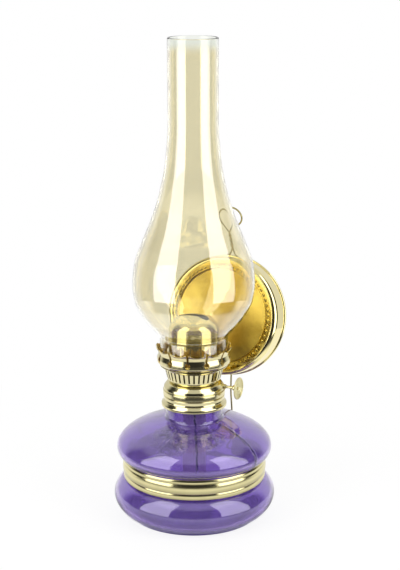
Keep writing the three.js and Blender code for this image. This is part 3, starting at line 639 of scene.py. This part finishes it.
class LAMP_OT_stage(bpy.types.Operator):
    """Builds the camera, the floor, the soft boxes and the room round them"""
    bl_idname = "lamp.build_stage"
    bl_label = "Stage"

    def execute(self, context):
        stage = settings("lamp_stage")
        for name in ("Cube", "Light", "Camera"):
            if name in bpy.data.objects:
                bpy.data.objects.remove(bpy.data.objects[name])
        context.scene.camera = self.camera(stage)
        self.floor(stage)
        self.soft_boxes(stage)
        context.scene.world = self.room(stage)
        context.scene.view_settings.view_transform = "Standard"
        return {"FINISHED"}

    def camera(self, stage):
        data = bpy.data.cameras.new("camera")
        data.lens, data.sensor_fit, data.sensor_height = stage.lens, "VERTICAL", 36
        data.shift_x = 7.5 / 570        # the photograph is cropped 7.5 of its 570 pixels off centre
        camera = in_scene("camera", data)
        turn = stage.camera_azimuth
        camera.location = Vector((0, 0, stage.camera_height)) - stage.camera_reach * away_from(turn)
        camera.rotation_euler = (math.pi / 2 - stage.camera_pitch, stage.camera_roll, turn)
        return camera

    def floor(self, stage):
        """White paper. Near the foot it shows the lamp's soft shadow. It is white to the camera,
        and what mirrors it sees it fall off towards the dark of the room."""
        radius, depth = 420, 20
        disc = lathe([(0, -depth), (radius, -depth), (radius, 0), (0, 0)], 96)
        floor = in_scene("floor", as_data("floor", disc))
        material, tree, place = blank("white_paper_sheet")
        path, mirrored = rays(tree)
        reach = add(tree, "VectorMath", place, operation="LENGTH")
        behind = add(tree, "VectorMath", place, away_from(stage.camera_azimuth),
                     operation="DOT_PRODUCT")
        falloff = add(tree, "MapRange", reach, 0.14, 0.28, 1, 0.08, **SOFT)
        falloff = add(tree, "Math", falloff, add(tree, "MapRange", behind, -0.08, 0.05, **SOFT),
                      operation="MAXIMUM")
        # Painted shadow: in reflections the floor's glow is dimmed to 0.3 close to the lamp.
        near = add(tree, "MapRange", reach, 0.06, 0.12, 0.3)
        near = add(tree, "Mix", {0: mirrored, 2: 1, 3: near})
        falloff = add(tree, "Math", falloff, near, operation="MULTIPLY")
        strength = add(tree, "Mix", {0: path["Is Camera Ray"], 2: falloff, 3: 1})
        seen = add(tree, "Math", path["Is Camera Ray"], path["Is Glossy Ray"], operation="ADD")
        seen = add(tree, "Math", seen, path["Is Transmission Ray"], operation="ADD", use_clamp=True)
        fade = add(tree, "MapRange", reach, 0.08, 0.34, 0.88, **SOFT)
        bare = add(tree, "MapRange", reach, 0.048, 0.062, **SOFT)
        bare = add(tree, "Math", bare, path["Is Camera Ray"], operation="MAXIMUM")
        for amount in (fade, bare):
            seen = add(tree, "Math", seen, amount, operation="MULTIPLY")
        paper = add(tree, "BsdfDiffuse", rgba(stage.floor_colour))
        glow = add(tree, "Emission", {"Strength": strength})
        add(tree, "OutputMaterial", add(tree, "MixShader", seen, paper, glow))
        floor.data.materials.append(material)

    def soft_boxes(self, stage):
        for side in (-stage.box_left, stage.box_right):
            data = bpy.data.lights.new("soft_box", "AREA")
            data.shape, data.size, data.size_y = "RECTANGLE", stage.box_width, stage.box_height
            data.energy = stage.box_power
            light = in_scene("soft_box", data)
            turn = stage.camera_azimuth + side
            middle = stage.box_height / 2 - stage.box_bottom
            light.location = Vector((0, 0, middle)) - away_from(turn)
            light.rotation_euler = (math.pi / 2, 0, turn)
            light.visible_camera = False

    def room(self, stage):
        """A white backdrop beyond the lamp and a dim studio on the camera's side."""
        world = bpy.data.worlds.new("studio")
        world.use_nodes = True
        tree = world.node_tree
        tree.nodes.clear()
        path, mirrored = rays(tree)
        ray = add(tree, "TexCoord").outputs["Generated"]
        flat = add(tree, "VectorMath", ray, (1, 1, 0.35), operation="MULTIPLY")
        flat = add(tree, "VectorMath", flat, operation="NORMALIZE")
        ahead = add(tree, "VectorMath", flat, away_from(stage.camera_azimuth),
                    operation="DOT_PRODUCT")
        dim = add(tree, "Math", path["Is Transmission Ray"], 0.1, 0.04, operation="MULTIPLY_ADD")
        back = add(tree, "MapRange", ahead, 0.3, 0.6, dim, **SOFT)
        rise = add(tree, "SeparateXYZ", ray).outputs["Z"]
        ceiling = add(tree, "MapRange", rise, 0.6, 0.8, 0, 0.9, **SOFT)
        white = add(tree, "Math", back, ceiling, operation="MAXIMUM")
        mirrored = add(tree, "Math", mirrored, -0.24, 1, operation="MULTIPLY_ADD")
        white = add(tree, "Math", white, mirrored, operation="MULTIPLY")
        strength = add(tree, "Mix", {0: path["Is Camera Ray"], 2: white, 3: 1})
        background = add(tree, "Background", {"Color": rgba((1, 1, 1)), "Strength": strength})
        add(tree, "OutputWorld", background)
        return world


# Pieces

class LAMP_OT_font(bpy.types.Operator):
    """Builds the purple glass font with its foot, two lobes and neck"""
    bl_idname = "lamp.build_font"
    bl_label = "Glass font"

    def execute(self, context):
        font = settings("lamp_font")
        foot, lower, waist, upper, neck, top, wall = (mm(v) for v in (
            font.foot, font.lower_lobe, font.waist, font.upper_lobe, font.neck, font.neck_top,
            font.wall))
        middle = 52.7                       # height of the upper lobe's widest ring
        side, shoulder, fillet, neck_wall = (40, 21.77), (77.2, 25.9), 2.5, 2.1
        bore = neck - neck_wall
        outer = rounded([
            (0, 1.6), (36, 1.6, 3), (41.5, 0, 3), (foot, 0, 0.7), (foot, 1.4, 0.3),
            *arc((lower - side[0], 15.97), side, -42, 32.3, 28)[:-1],
            (54.21, 27.6, 1.2), (waist, 29, 1), (waist, 45, 1), (54.71, 46.4, 1.2),
            *arc((waist, middle), (upper - waist, 7.6), -56, 0, 10)[1:-1],
            *arc((upper - shoulder[0], middle), shoulder, 0, 56.6, 40)[:-1],
            *arc((neck + fillet, 76.82), (fillet, fillet), -90, -180, 8),
            (neck, top, 0.9), (bore, top, 0.9), (bore, 71.32)])
        glass_side = [p for p in outer if 1.5 < p[1] < 75 and p[0] > bore]
        cavity = [p for p in offset(glass_side, wall) if p[1] > 7 and p[0] > bore + 1]
        floor = rounded([cavity[0], (cavity[0][0] - 2.5, 5.5, 3), (0, 5.5)])
        outline = outer + cavity[::-1] + floor[1:]
        piece("lamp_font", lathe(outline, 160), violet_lacquered_glass(font.colour, font.haze),
              "font", ["font_glass"])
        return {"FINISHED"}


class LAMP_OT_waist_band(bpy.types.Operator):
    """Builds the ridged brass band round the waist"""
    bl_idname = "lamp.build_waist_band"
    bl_label = "Waist band"

    def execute(self, context):
        band = settings("lamp_band")
        radius, bottom, width, relief = (mm(v) for v in (band.radius, band.bottom, band.width,
                                                         band.relief))
        # Shares of the width where the three ridges meet: a wide one at the bottom and in the
        # middle, and a narrow one on top.
        meets, stands, steps = (0, 0.28, 0.8, 1), (0.5, 1, 0.7), 16
        line = []
        for low, high, stand in zip(meets, meets[1:], stands):
            for i in range(steps):
                t = i / steps
                rise = stand * math.sin(math.pi * t) ** 0.7
                line.append((radius + relief * rise, bottom + width * (low + (high - low) * t)))
        line.append((radius, bottom + width))
        half = math.degrees(math.asin(band.opening / 2 / band.radius))
        ring = lathe(sheet(line, -0.5), 184, (90 + half, 450 - half))
        piece("lamp_waist_band", ring, brass("polished_brass_rolled", band.colour, 0.16), "font",
              ["waist_band"])
        return {"FINISHED"}


class ReflectorPlace:
    """Where the reflector and its wire are. Points are in millimetres."""

    def __init__(self):
        reflector, hanger = settings("lamp_reflector"), settings("lamp_hanger")
        rolled_edge, gap, above_pan = 1, 0.3, 4.5
        self.centre = Vector((0, 50.5, 140.022))
        self.lean, self.hanger_lean = reflector.lean, hanger.lean
        self.wire_depth = mm(reflector.depth) + rolled_edge + gap + mm(hanger.wire) / 2
        self.twist_start = self.on_reflector(0, mm(reflector.pan) + above_pan, self.wire_depth)

    def on_reflector(self, right, up, back):
        """A point from the disc's centre: right, up its leaning face, and back."""
        return self.centre + Vector((right, up * math.sin(self.lean) + back * math.cos(self.lean),
                                     up * math.cos(self.lean) - back * math.sin(self.lean)))

    def on_hanger(self, right, up, back):
        """A point from the start of the twist."""
        lean = self.hanger_lean
        return self.twist_start + Vector((right, back * math.cos(lean) - up * math.sin(lean),
                                          up * math.cos(lean) + back * math.sin(lean)))

    def matrix(self):
        """Lays a mesh that is turned about Z in the reflector's place, with +Z to the front."""
        return at(*self.centre) @ Matrix.Rotation(math.pi / 2 - self.lean, 4, "X")


class LAMP_OT_hanger(bpy.types.Operator):
    """Builds the hanger: one wire from the waist, up both legs, twisted, and round the loop"""
    bl_idname = "lamp.build_hanger"
    bl_label = "Wire hanger"

    def execute(self, context):
        hanger = settings("lamp_hanger")
        place = ReflectorPlace()
        loop = mm(hanger.loop)
        left = self.left_leg(place, mm(hanger.legs) / 2)
        turns, steps, twist_length, strand = 2, 16, 17, 0.875
        twist = []
        for i in range(steps + 1):
            t = math.pi + 2 * math.pi * turns * i / steps
            twist.append(place.on_hanger(strand * math.cos(t), twist_length * i / steps,
                                         strand * math.sin(t)))
        round_loop = [place.on_hanger(*p, 0)
                      for p in arc((0, twist_length + 3.2 + loop), (loop, loop), 230, -50, 20)]
        back = Vector((0, math.cos(place.hanger_lean), math.sin(place.hanger_lean)))
        other_twist = []
        for p in reversed(twist):
            depth = (p - place.twist_start).dot(back)
            other_twist.append(Vector((-p.x, p.y, p.z)) - 2 * depth * back)
        right = [Vector((-p.x, p.y, p.z)) for p in reversed(left)]
        path = [p * MM for p in self.flowing(left + twist + round_loop + other_twist + right)]
        finish = brass("brass_plated_wire_drawn", hanger.colour, 0.22, waviness=0.25,
                       tarnish="6f6a42", tarnish_share=0.5)
        piece("lamp_hanger", tube(path, hanger.wire / 2), finish, "font",
              ["hanger_wire"], sharp=60)
        return {"FINISHED"}

    def left_leg(self, place, leg):
        """From the front of the ring under the band, round to the back, and up the reflector."""
        radius, height = 51.5, 34.5
        end = 180 - math.degrees(math.asin(leg / radius))
        ring = []
        for turn in range(4, math.ceil(end), 5):
            t = math.radians(turn)
            ring.append(Vector((-radius * math.sin(t), -radius * math.cos(t), height)))
        climb = [Vector((-leg, *p)) for p in ((52.15, 35.27), (58.55, 38.35), (59.2, 52.05),
                                              (59.2, 60.4))]
        behind = [place.on_reflector(-right, up, place.wire_depth)
                  for right, up in ((leg, -49.6), (leg, 0), (leg, 43), (leg * 0.6, 47))]
        return ring + climb + behind

    def flowing(self, stations, steps=5):
        """A smooth line through the stations, with shorter steps where they lie close."""
        points = [2 * stations[0] - stations[1], *stations, 2 * stations[-1] - stations[-2]]
        line = []
        for a, b, c, d in zip(points, points[1:], points[2:], points[3:]):
            for k in range(steps):
                t = k / steps
                line.append((b * 2 + (c - a) * t + (a * 2 - b * 5 + c * 4 - d) * t ** 2
                             + (b * 3 - a - c * 3 + d) * t ** 3) / 2)
        return line + [stations[-1]]


class LAMP_OT_reflector(bpy.types.Operator):
    """Builds the pan reflector with its row of beads, and the two saddles that hold it"""
    bl_idname = "lamp.build_reflector"
    bl_label = "Reflector"

    def execute(self, context):
        reflector = settings("lamp_reflector")
        place = ReflectorPlace()
        disc, pan, depth = mm(reflector.disc), mm(reflector.pan), mm(reflector.depth)
        step, rise, crest, lip, thickness = disc + 0.9, 1.9, pan - 1, 0.22, 0.6
        width, tilt = 3.6, math.radians(10)         # of the beaded slope
        slope = [(step + width * i / 16, rise + width * math.tan(tilt) * i / 16) for i in range(1, 17)]
        end, end_height = slope[-1]
        front = rounded([*[(disc * i / 16, 0) for i in range(16)], (disc, 0, 0.3),
                         (step, rise, 0.25), *slope,
                         (end + lip / math.tan(tilt), end_height + lip, 3),
                         *self.brow(crest, end_height + lip), (crest, 1 - depth)])
        rolled = arc((pan - 1, -depth), (1, 1), 90, -180, 12)
        outline = front[:-1] + rolled + offset(front, -thickness)[::-1]
        outline[-1] = (0, -thickness)
        mesh = lathe(outline, 12 * reflector.beads)
        self.emboss(mesh, (step + end) / 2, reflector.beads)
        # Beyond the disc the pan is paler: a painted reflection of the white room on its wall.
        finish = brass("gold_lacquered_brass_spun", reflector.colour, 0.1, waviness=0.1,
                       tarnish="8a6c1c", tarnish_share=0.6,
                       satin=(place.centre * MM, reflector.disc, 0.3, linear("fbeeb2")))
        piece("lamp_reflector", moved(mesh, place.matrix()), finish, "font",
              ["reflector_dish"])
        for name, turn in (("upper", 0), ("lower", math.pi)):
            saddle = moved(self.saddle(depth, place.wire_depth), Matrix.Rotation(turn, 4, "Z"))
            piece("lamp_saddle_" + name, moved(saddle, place.matrix()),
                  brass("tinned_brass_folded_" + name, linear("d6c489"), 0.3), "font",
                  ["reflector_clip_" + name])
        return {"FINISHED"}

    def brow(self, crest, top):
        """From the crest over to the side wall: a tight arc first, then wider ones."""
        line = [(0.0, 0.0)]
        for start, end, radius in ((0, 43, 3.4), (43, 65, 3.6), (65, 90, 4.5)):
            first, (r, z) = math.radians(start), line[-1]
            for i in range(1, 9):
                t = math.radians(start + (end - start) * i / 8)
                line.append((r + radius * (math.sin(t) - math.sin(first)),
                             z - radius * (math.cos(first) - math.cos(t))))
        return [(crest - line[-1][0] + r, top + z) for r, z in line]

    def emboss(self, mesh, ring, beads):
        """Raises a row of long beads on the slope's front."""
        half_width, half_length, height, slope_foot = 1.1, 1.5, 0.4, 1.2
        for vert in mesh.verts:
            if mm(vert.co.z) < slope_foot:
                continue
            r, turn = polar(vert.co)
            shift = turn / (2 * math.pi) * beads
            sideways = (shift - round(shift)) * 2 * math.pi / beads * ring
            away = math.hypot(sideways / half_length, (r - ring) / half_width)
            if away < 1:
                vert.co.z += height * MM * (1 - away ** 2) ** 1.5

    def saddle(self, depth, wire_depth):
        """A folded strip: its bridge lies over the two legs and its ends stand inside the pan."""
        inside, bridge, thickness, width = 6.15, wire_depth + 0.95, 0.6, 5
        line = rounded([(-inside, 7 - depth), (-inside, -bridge, 1.2), (inside, -bridge, 1.2),
                        (inside, 7 - depth)])
        # Its outer corners stay inside the solid pan's wall, which has 28 sides.
        wall, gap = 45.4 * math.cos(math.pi / 28), 0.3
        reach = math.sqrt(wall ** 2 - (inside + thickness) ** 2) - gap
        return moved(prism(sheet(line, -thickness), 0, width), at(0, reach, 0, "X"))


class LAMP_OT_collar(bpy.types.Operator):
    """Builds the threaded collar on the neck, and finishes the plaster under it"""
    bl_idname = "lamp.build_collar"
    bl_label = "Neck collar"

    def execute(self, context):
        line = rounded([
            (23.6, 84.42), (24.3, 84.72, 0.3), (24.3, 86.72, 1.2), (22.45, 88.82, 0.4),
            (22.9, 89.22, 0.2), (22.55, 90.22, 0.6), (22.9, 92.52, 0.5), (22.4, 93.02, 0.5),
            (17.5, 93.02, 0.6), (17.5, 85.42)])
        finish = brass("polished_brass_pressed_collar", settings("lamp_burner").colour, 0.13)
        piece("lamp_collar", lathe(sheet(line, BURNER_SHEET), 128), finish, "font",
              ["neck_collar"])
        finish_node("collar_plaster", cast_plaster())
        return {"FINISHED"}


class LAMP_OT_burner(bpy.types.Operator):
    """Builds the burner: cap, slotted air basket, crown of keyhole leaves, flame dome and wick tube"""
    bl_idname = "lamp.build_burner"
    bl_label = "Burner"

    def execute(self, context):
        burner = settings("lamp_burner")
        finish = brass("polished_brass_pressed", burner.colour, 0.14)
        # Painted shade: the air basket's inside faces are near-black, so that its slots look dark.
        painted_shade_inside = brass("brass_sheet_painted_shade", linear("1f1a0e"), 0.5, tarnish="100c06",
                       tarnish_share=0.6)
        tinted = brass("brass_sheet_heat_tinted", linear("dcc07a"), 0.4, tarnish="7c5f2c",
                       tarnish_share=0.5)
        dulled = brass("brass_sheet_heat_dulled", linear("d8cfae"), 0.6, metallic=0.3)
        bright = brass("brass_sheet_bright_rolled", linear("e8d48a"), 0.2)
        for name, mesh, inside in (
                ("burner_cap", self.cap(), bright), ("air_basket", self.basket(burner), painted_shade_inside),
                ("chimney_crown", self.crown(burner), tinted), ("flame_dome", self.dome(), dulled)):
            piece("lamp_" + name, mesh, finish, "burner", [name], inside=inside)
        plain = brass("brass_sheet_as_rolled", linear("8a7a48"), 0.4, tarnish="3c3218",
                      tarnish_share=0.5)
        piece("lamp_wick_tube", self.wick_tube(), plain, "burner", ["wick_tube"])
        for name in ("burner_base_plate", "wheel_housing", "wick_wheel_left", "wick_wheel_right"):
            finish_node(name, plain)
        return {"FINISHED"}

    def cap(self):
        line = rounded([
            (17.1, 86.12), (17.1, 93.32, 0.6), (22.8, 93.32, 0.2), (23.1, 93.62, 0.2),
            (23.1, 96.92, 0.25), (22.3, 97.02, 0.2), (22.65, 97.8, 0.9), (22.4, 99.6, 1.7),
            (20.1, 102.6, 2.2), (17.8, 103.12, 1), (15.6, 103.12)])
        hole = lathe([(0, 14), (2.1, 14), (2.1, 26), (0, 26)], 24)
        return carve(lathe(sheet(line, BURNER_SHEET), 128),
                     moved(hole, at(0, SPINDLE_Y, SPINDLE_Z, "Y")))

    def basket(self, burner):
        slot_low, slot_high, slot_width, corner = 106.42, 113.82, 1.3, 0.5
        line = rounded([(14.6, 103.42), (18.4, 103.42, 0.9), (19.9, 105.6, 1.5), (21.9, 113.6, 1),
                        (23.7, 115.82, 0.6), (25.3, 115.82)])
        shell = lathe(sheet(line, BURNER_SHEET), burner.slots * 6)
        slot = prism(rounded_slot(slot_width, slot_high - slot_low, corner), 0, 12)
        slot = moved(slot, at(14, 0, (slot_low + slot_high) / 2, "Z", "X"))
        return carve(shell, turned_copies(slot, burner.slots, 0.5))

    def crown(self, burner):
        grip, keyhole, lip, tip = 125.22, 121.92, 127, 130.92
        line = rounded([(19.3, 116.62), (25.3, 116.62, 1.8), (27.3, 118.9, 1.5), (27.3, keyhole, 1.5),
                        (26.2, grip, 1.5), (27.6, 128.64, 3), (29, tip)])
        shell = lathe(sheet(line, 0.6), 24 * burner.leaves)
        self.scallop(shell, 2 * math.pi / burner.leaves, lip, tip)
        hole, half = mm(burner.keyhole), mm(burner.slit) / 2
        spread = math.degrees(math.asin(half / hole))
        point, slit_top = 35, 12            # half the angle of the hole's pointed foot, in degrees
        key = [(half, slit_top), *arc((0, 0), (hole, hole), 90 - spread, -90 + point, 10),
               (0, -hole * 1.35), *arc((0, 0), (hole, hole), -90 - point, -270 + spread, 10),
               (-half, slit_top)]
        slit = moved(prism(key, 0, 16), at(17, 0, keyhole, "Z", "X"))
        vent = lathe([(0, 115), (1.2, 115), (1.2, 118), (0, 118)], 16)
        vents = turned_copies(moved(vent, at(22.4, 0, 0)), burner.leaves)
        return carve(carve(shell, turned_copies(slit, burner.leaves, 0.5)), vents)

    def scallop(self, shell, pitch, lip, tip):
        """Lowers the crown's lip at the middle and the corners of each leaf, and draws it in."""
        middle_dip, corner_dip, corner_share, draw_in = 2.6, 1.3, 0.2, 0.55
        for vert in shell.verts:
            height = mm(vert.co.z)
            if height <= lip:
                continue
            r, turn = polar(vert.co)
            across = abs(turn / pitch - round(turn / pitch)) * 2
            corner = max(0, across - (1 - corner_share)) / corner_share
            dip = middle_dip * (1 - across ** 2) + corner_dip * corner
            lower = (height - lip) / (tip - lip) * dip
            reach = (r - draw_in * lower) * MM
            vert.co = (reach * math.cos(turn), reach * math.sin(turn), vert.co.z - lower * MM)

    def dome(self):
        line = rounded([(20.5, 118.02), (18.6, 118.02, 0.7), (18.6, 135, 0.3), (18.95, 135.72, 0.3),
                        (18.6, 136.42, 0.3), *arc((0, 142.4), (18.6, 11.22), 0, 90, 24)])
        top = line[-1][1]
        outline = sheet(line, BURNER_SHEET)
        outline[len(line) - 1:len(line) + 1] = (0, top), (0, top - BURNER_SHEET)
        return carve(lathe(outline, 96), prism(rounded_slot(24, 7.5, 3.6), 140, 160))

    def wick_tube(self):
        outside = prism(rounded_slot(20.7, 4.1, 1.8), 88.02, 147.62)
        inside = prism(rounded_slot(19.7, 3.1, 1.3), 80, 160)
        windows = [moved(prism(rounded_slot(2.8, 9.2, 0.3), 0, 6), at(x, 7, SPINDLE_Z, "X"))
                   for x in (-4.5, 4.5)]
        return carve(carve(outside, inside), joined(windows))


class LAMP_OT_wick_raiser(bpy.types.Operator):
    """Builds the wick knob, its spindle, ferrule and sleeve"""
    bl_idname = "lamp.build_wick_raiser"
    bl_label = "Wick raiser"

    def execute(self, context):
        burner = settings("lamp_burner")
        turned = brass("polished_brass_turned", burner.colour, 0.15)
        stamped = brass("satin_brass_stamped", linear("efe7b6"), 0.42)
        spindle = rounded([(0, -8.5), (1, -8.5, 0.3), (1, 33.6, 0.3), (0, 33.6)])
        sleeve = rounded([(1.3, 10.5), (1.8, 10.5), (1.8, 23.2, 0.2), (1.3, 23.2)])
        ferrule = rounded([(1.3, 28.9), (1.8, 28.9, 0.2), (2.1, 29.6, 0.3), (2.1, 31.5), (1.3, 31.5)])
        for name, mesh, finish, body, node in (
                ("lamp_spindle", lathe(spindle, 24), turned, "wick_raiser", "wick_spindle"),
                ("lamp_spindle_sleeve", lathe(sleeve, 32), turned, "burner", "spindle_sleeve"),
                ("lamp_knob_ferrule", lathe(ferrule, 32), turned, "wick_raiser", "knob_ferrule"),
                ("lamp_knob", self.knob(mm(burner.knob)), stamped, "wick_raiser", "knob_disc")):
            piece(name, moved(mesh, at(0, SPINDLE_Y, SPINDLE_Z, "Y")), finish, body,
                  [node])
        return {"FINISHED"}

    def knob(self, radius):
        """A dished disc with a rolled, finely knurled rim and two embossed rings."""
        roll, knurls, depth = 0.55, 60, 0.008
        rim = radius - roll
        front = rounded([
            (1.3, 32.7), (2.6, 32.7, 0.2), (3, 33.05, 0.2), (3.5, 33.05, 0.2), (3.9, 32.8, 0.2),
            (5.4, 32.95, 0.2), (5.8, 33.3, 0.2), (6.2, 33.3, 0.2), (6.6, 33.1, 0.2),
            (rim - 0.4, 33.3)])
        mesh = lathe(front + arc((rim, 33.3), (roll, roll), 150, -90, 12) + [(1.3, 31.8)], 180)
        for vert in mesh.verts:
            r, turn = polar(vert.co)
            if r > rim + 0.2:
                scale = 1 - depth * (0.5 + 0.5 * math.cos(knurls * turn))
                vert.co.x, vert.co.y = vert.co.x * scale, vert.co.y * scale
        return mesh


class LAMP_OT_wick(bpy.types.Operator):
    """Builds the flat woven wick"""
    bl_idname = "lamp.build_wick"
    bl_label = "Wick"

    def execute(self, context):
        cotton = woven_cotton(settings("lamp_burner").wick_colour)
        piece("lamp_wick", prism(rounded_slot(19, 2.4, 1), 18, 149.02), cotton, "wick",
              ["flat_wick"])
        return {"FINISHED"}


class LAMP_OT_chimney(bpy.types.Operator):
    """Builds the glass chimney"""
    bl_idname = "lamp.build_chimney"
    bl_label = "Chimney"

    def execute(self, context):
        chimney = settings("lamp_chimney")
        fitter, bulb, tube_radius, wall = (mm(v) for v in (chimney.fitter, chimney.bulb,
                                                           chimney.tube, chimney.wall))
        foot, low, widest, tube_start, top = 117.52, 137.62, 176.52, 296.02, 355.02
        points = [(fitter, foot + 2), (fitter, low)]
        # Shares of the height and of the change in width, up to the bulb and up to the tube.
        for rise, widen in ((0.06, 0.07), (0.16, 0.24), (0.32, 0.51), (0.5, 0.74), (0.72, 0.93),
                            (1, 1)):
            points.append((fitter + (bulb - fitter) * widen, low + (widest - low) * rise))
        for rise, widen in ((0.13, 0.945), (0.27, 0.725), (0.42, 0.455), (0.58, 0.232),
                            (0.78, 0.068), (1, 0)):
            points.append((tube_radius + (bulb - tube_radius) * widen,
                           widest + (tube_start - widest) * rise))
        outer = smooth_through(points + [(tube_radius, top - 1)])
        rim = arc((tube_radius - wall / 2, top - 0.8), (wall / 2, 0.8), 10, 170, 8)
        foot_round = arc((fitter - wall / 2, foot + 0.8), (wall / 2, 0.8), 190, 350, 8)
        outline = outer + rim + offset(outer, wall)[::-1] + foot_round
        piece("lamp_chimney", lathe(outline, 160),
              lustred_chimney_glass(chimney.colour, chimney.clear_colour), "chimney",
              ["chimney_glass"])
        return {"FINISHED"}


BUILD_STEPS = (LAMP_OT_stage, LAMP_OT_font, LAMP_OT_waist_band, LAMP_OT_hanger, LAMP_OT_reflector,
               LAMP_OT_collar, LAMP_OT_burner, LAMP_OT_wick_raiser, LAMP_OT_wick, LAMP_OT_chimney)


class LAMP_PT_build(bpy.types.Panel):
    """The lamp's pieces, in the order that they are built"""
    bl_idname = "LAMP_PT_build"
    bl_label = "Glass Kerosene Lamp"
    bl_space_type = "VIEW_3D"
    bl_region_type = "UI"
    bl_category = "Lamp"

    def draw(self, context):
        for step in BUILD_STEPS:
            self.layout.operator(step.bl_idname, text=step.bl_label)
        for name in SETTINGS:
            group = settings(name)
            box = self.layout.box()
            for key in group.__annotations__:
                box.prop(group, key)


def register():
    for cls in (*SETTINGS.values(), *BUILD_STEPS, LAMP_PT_build):
        bpy.utils.register_class(cls)
    for name, group in SETTINGS.items():
        setattr(bpy.types.Scene, name, PointerProperty(type=group))


def unregister():
    for name in SETTINGS:
        delattr(bpy.types.Scene, name)
    for cls in (LAMP_PT_build, *reversed(BUILD_STEPS), *reversed(list(SETTINGS.values()))):
        bpy.utils.unregister_class(cls)


def main():
    register()
    for step in BUILD_STEPS:
        getattr(bpy.ops.lamp, step.bl_idname.split(".")[1])()


if __name__ == "__main__":
    main()
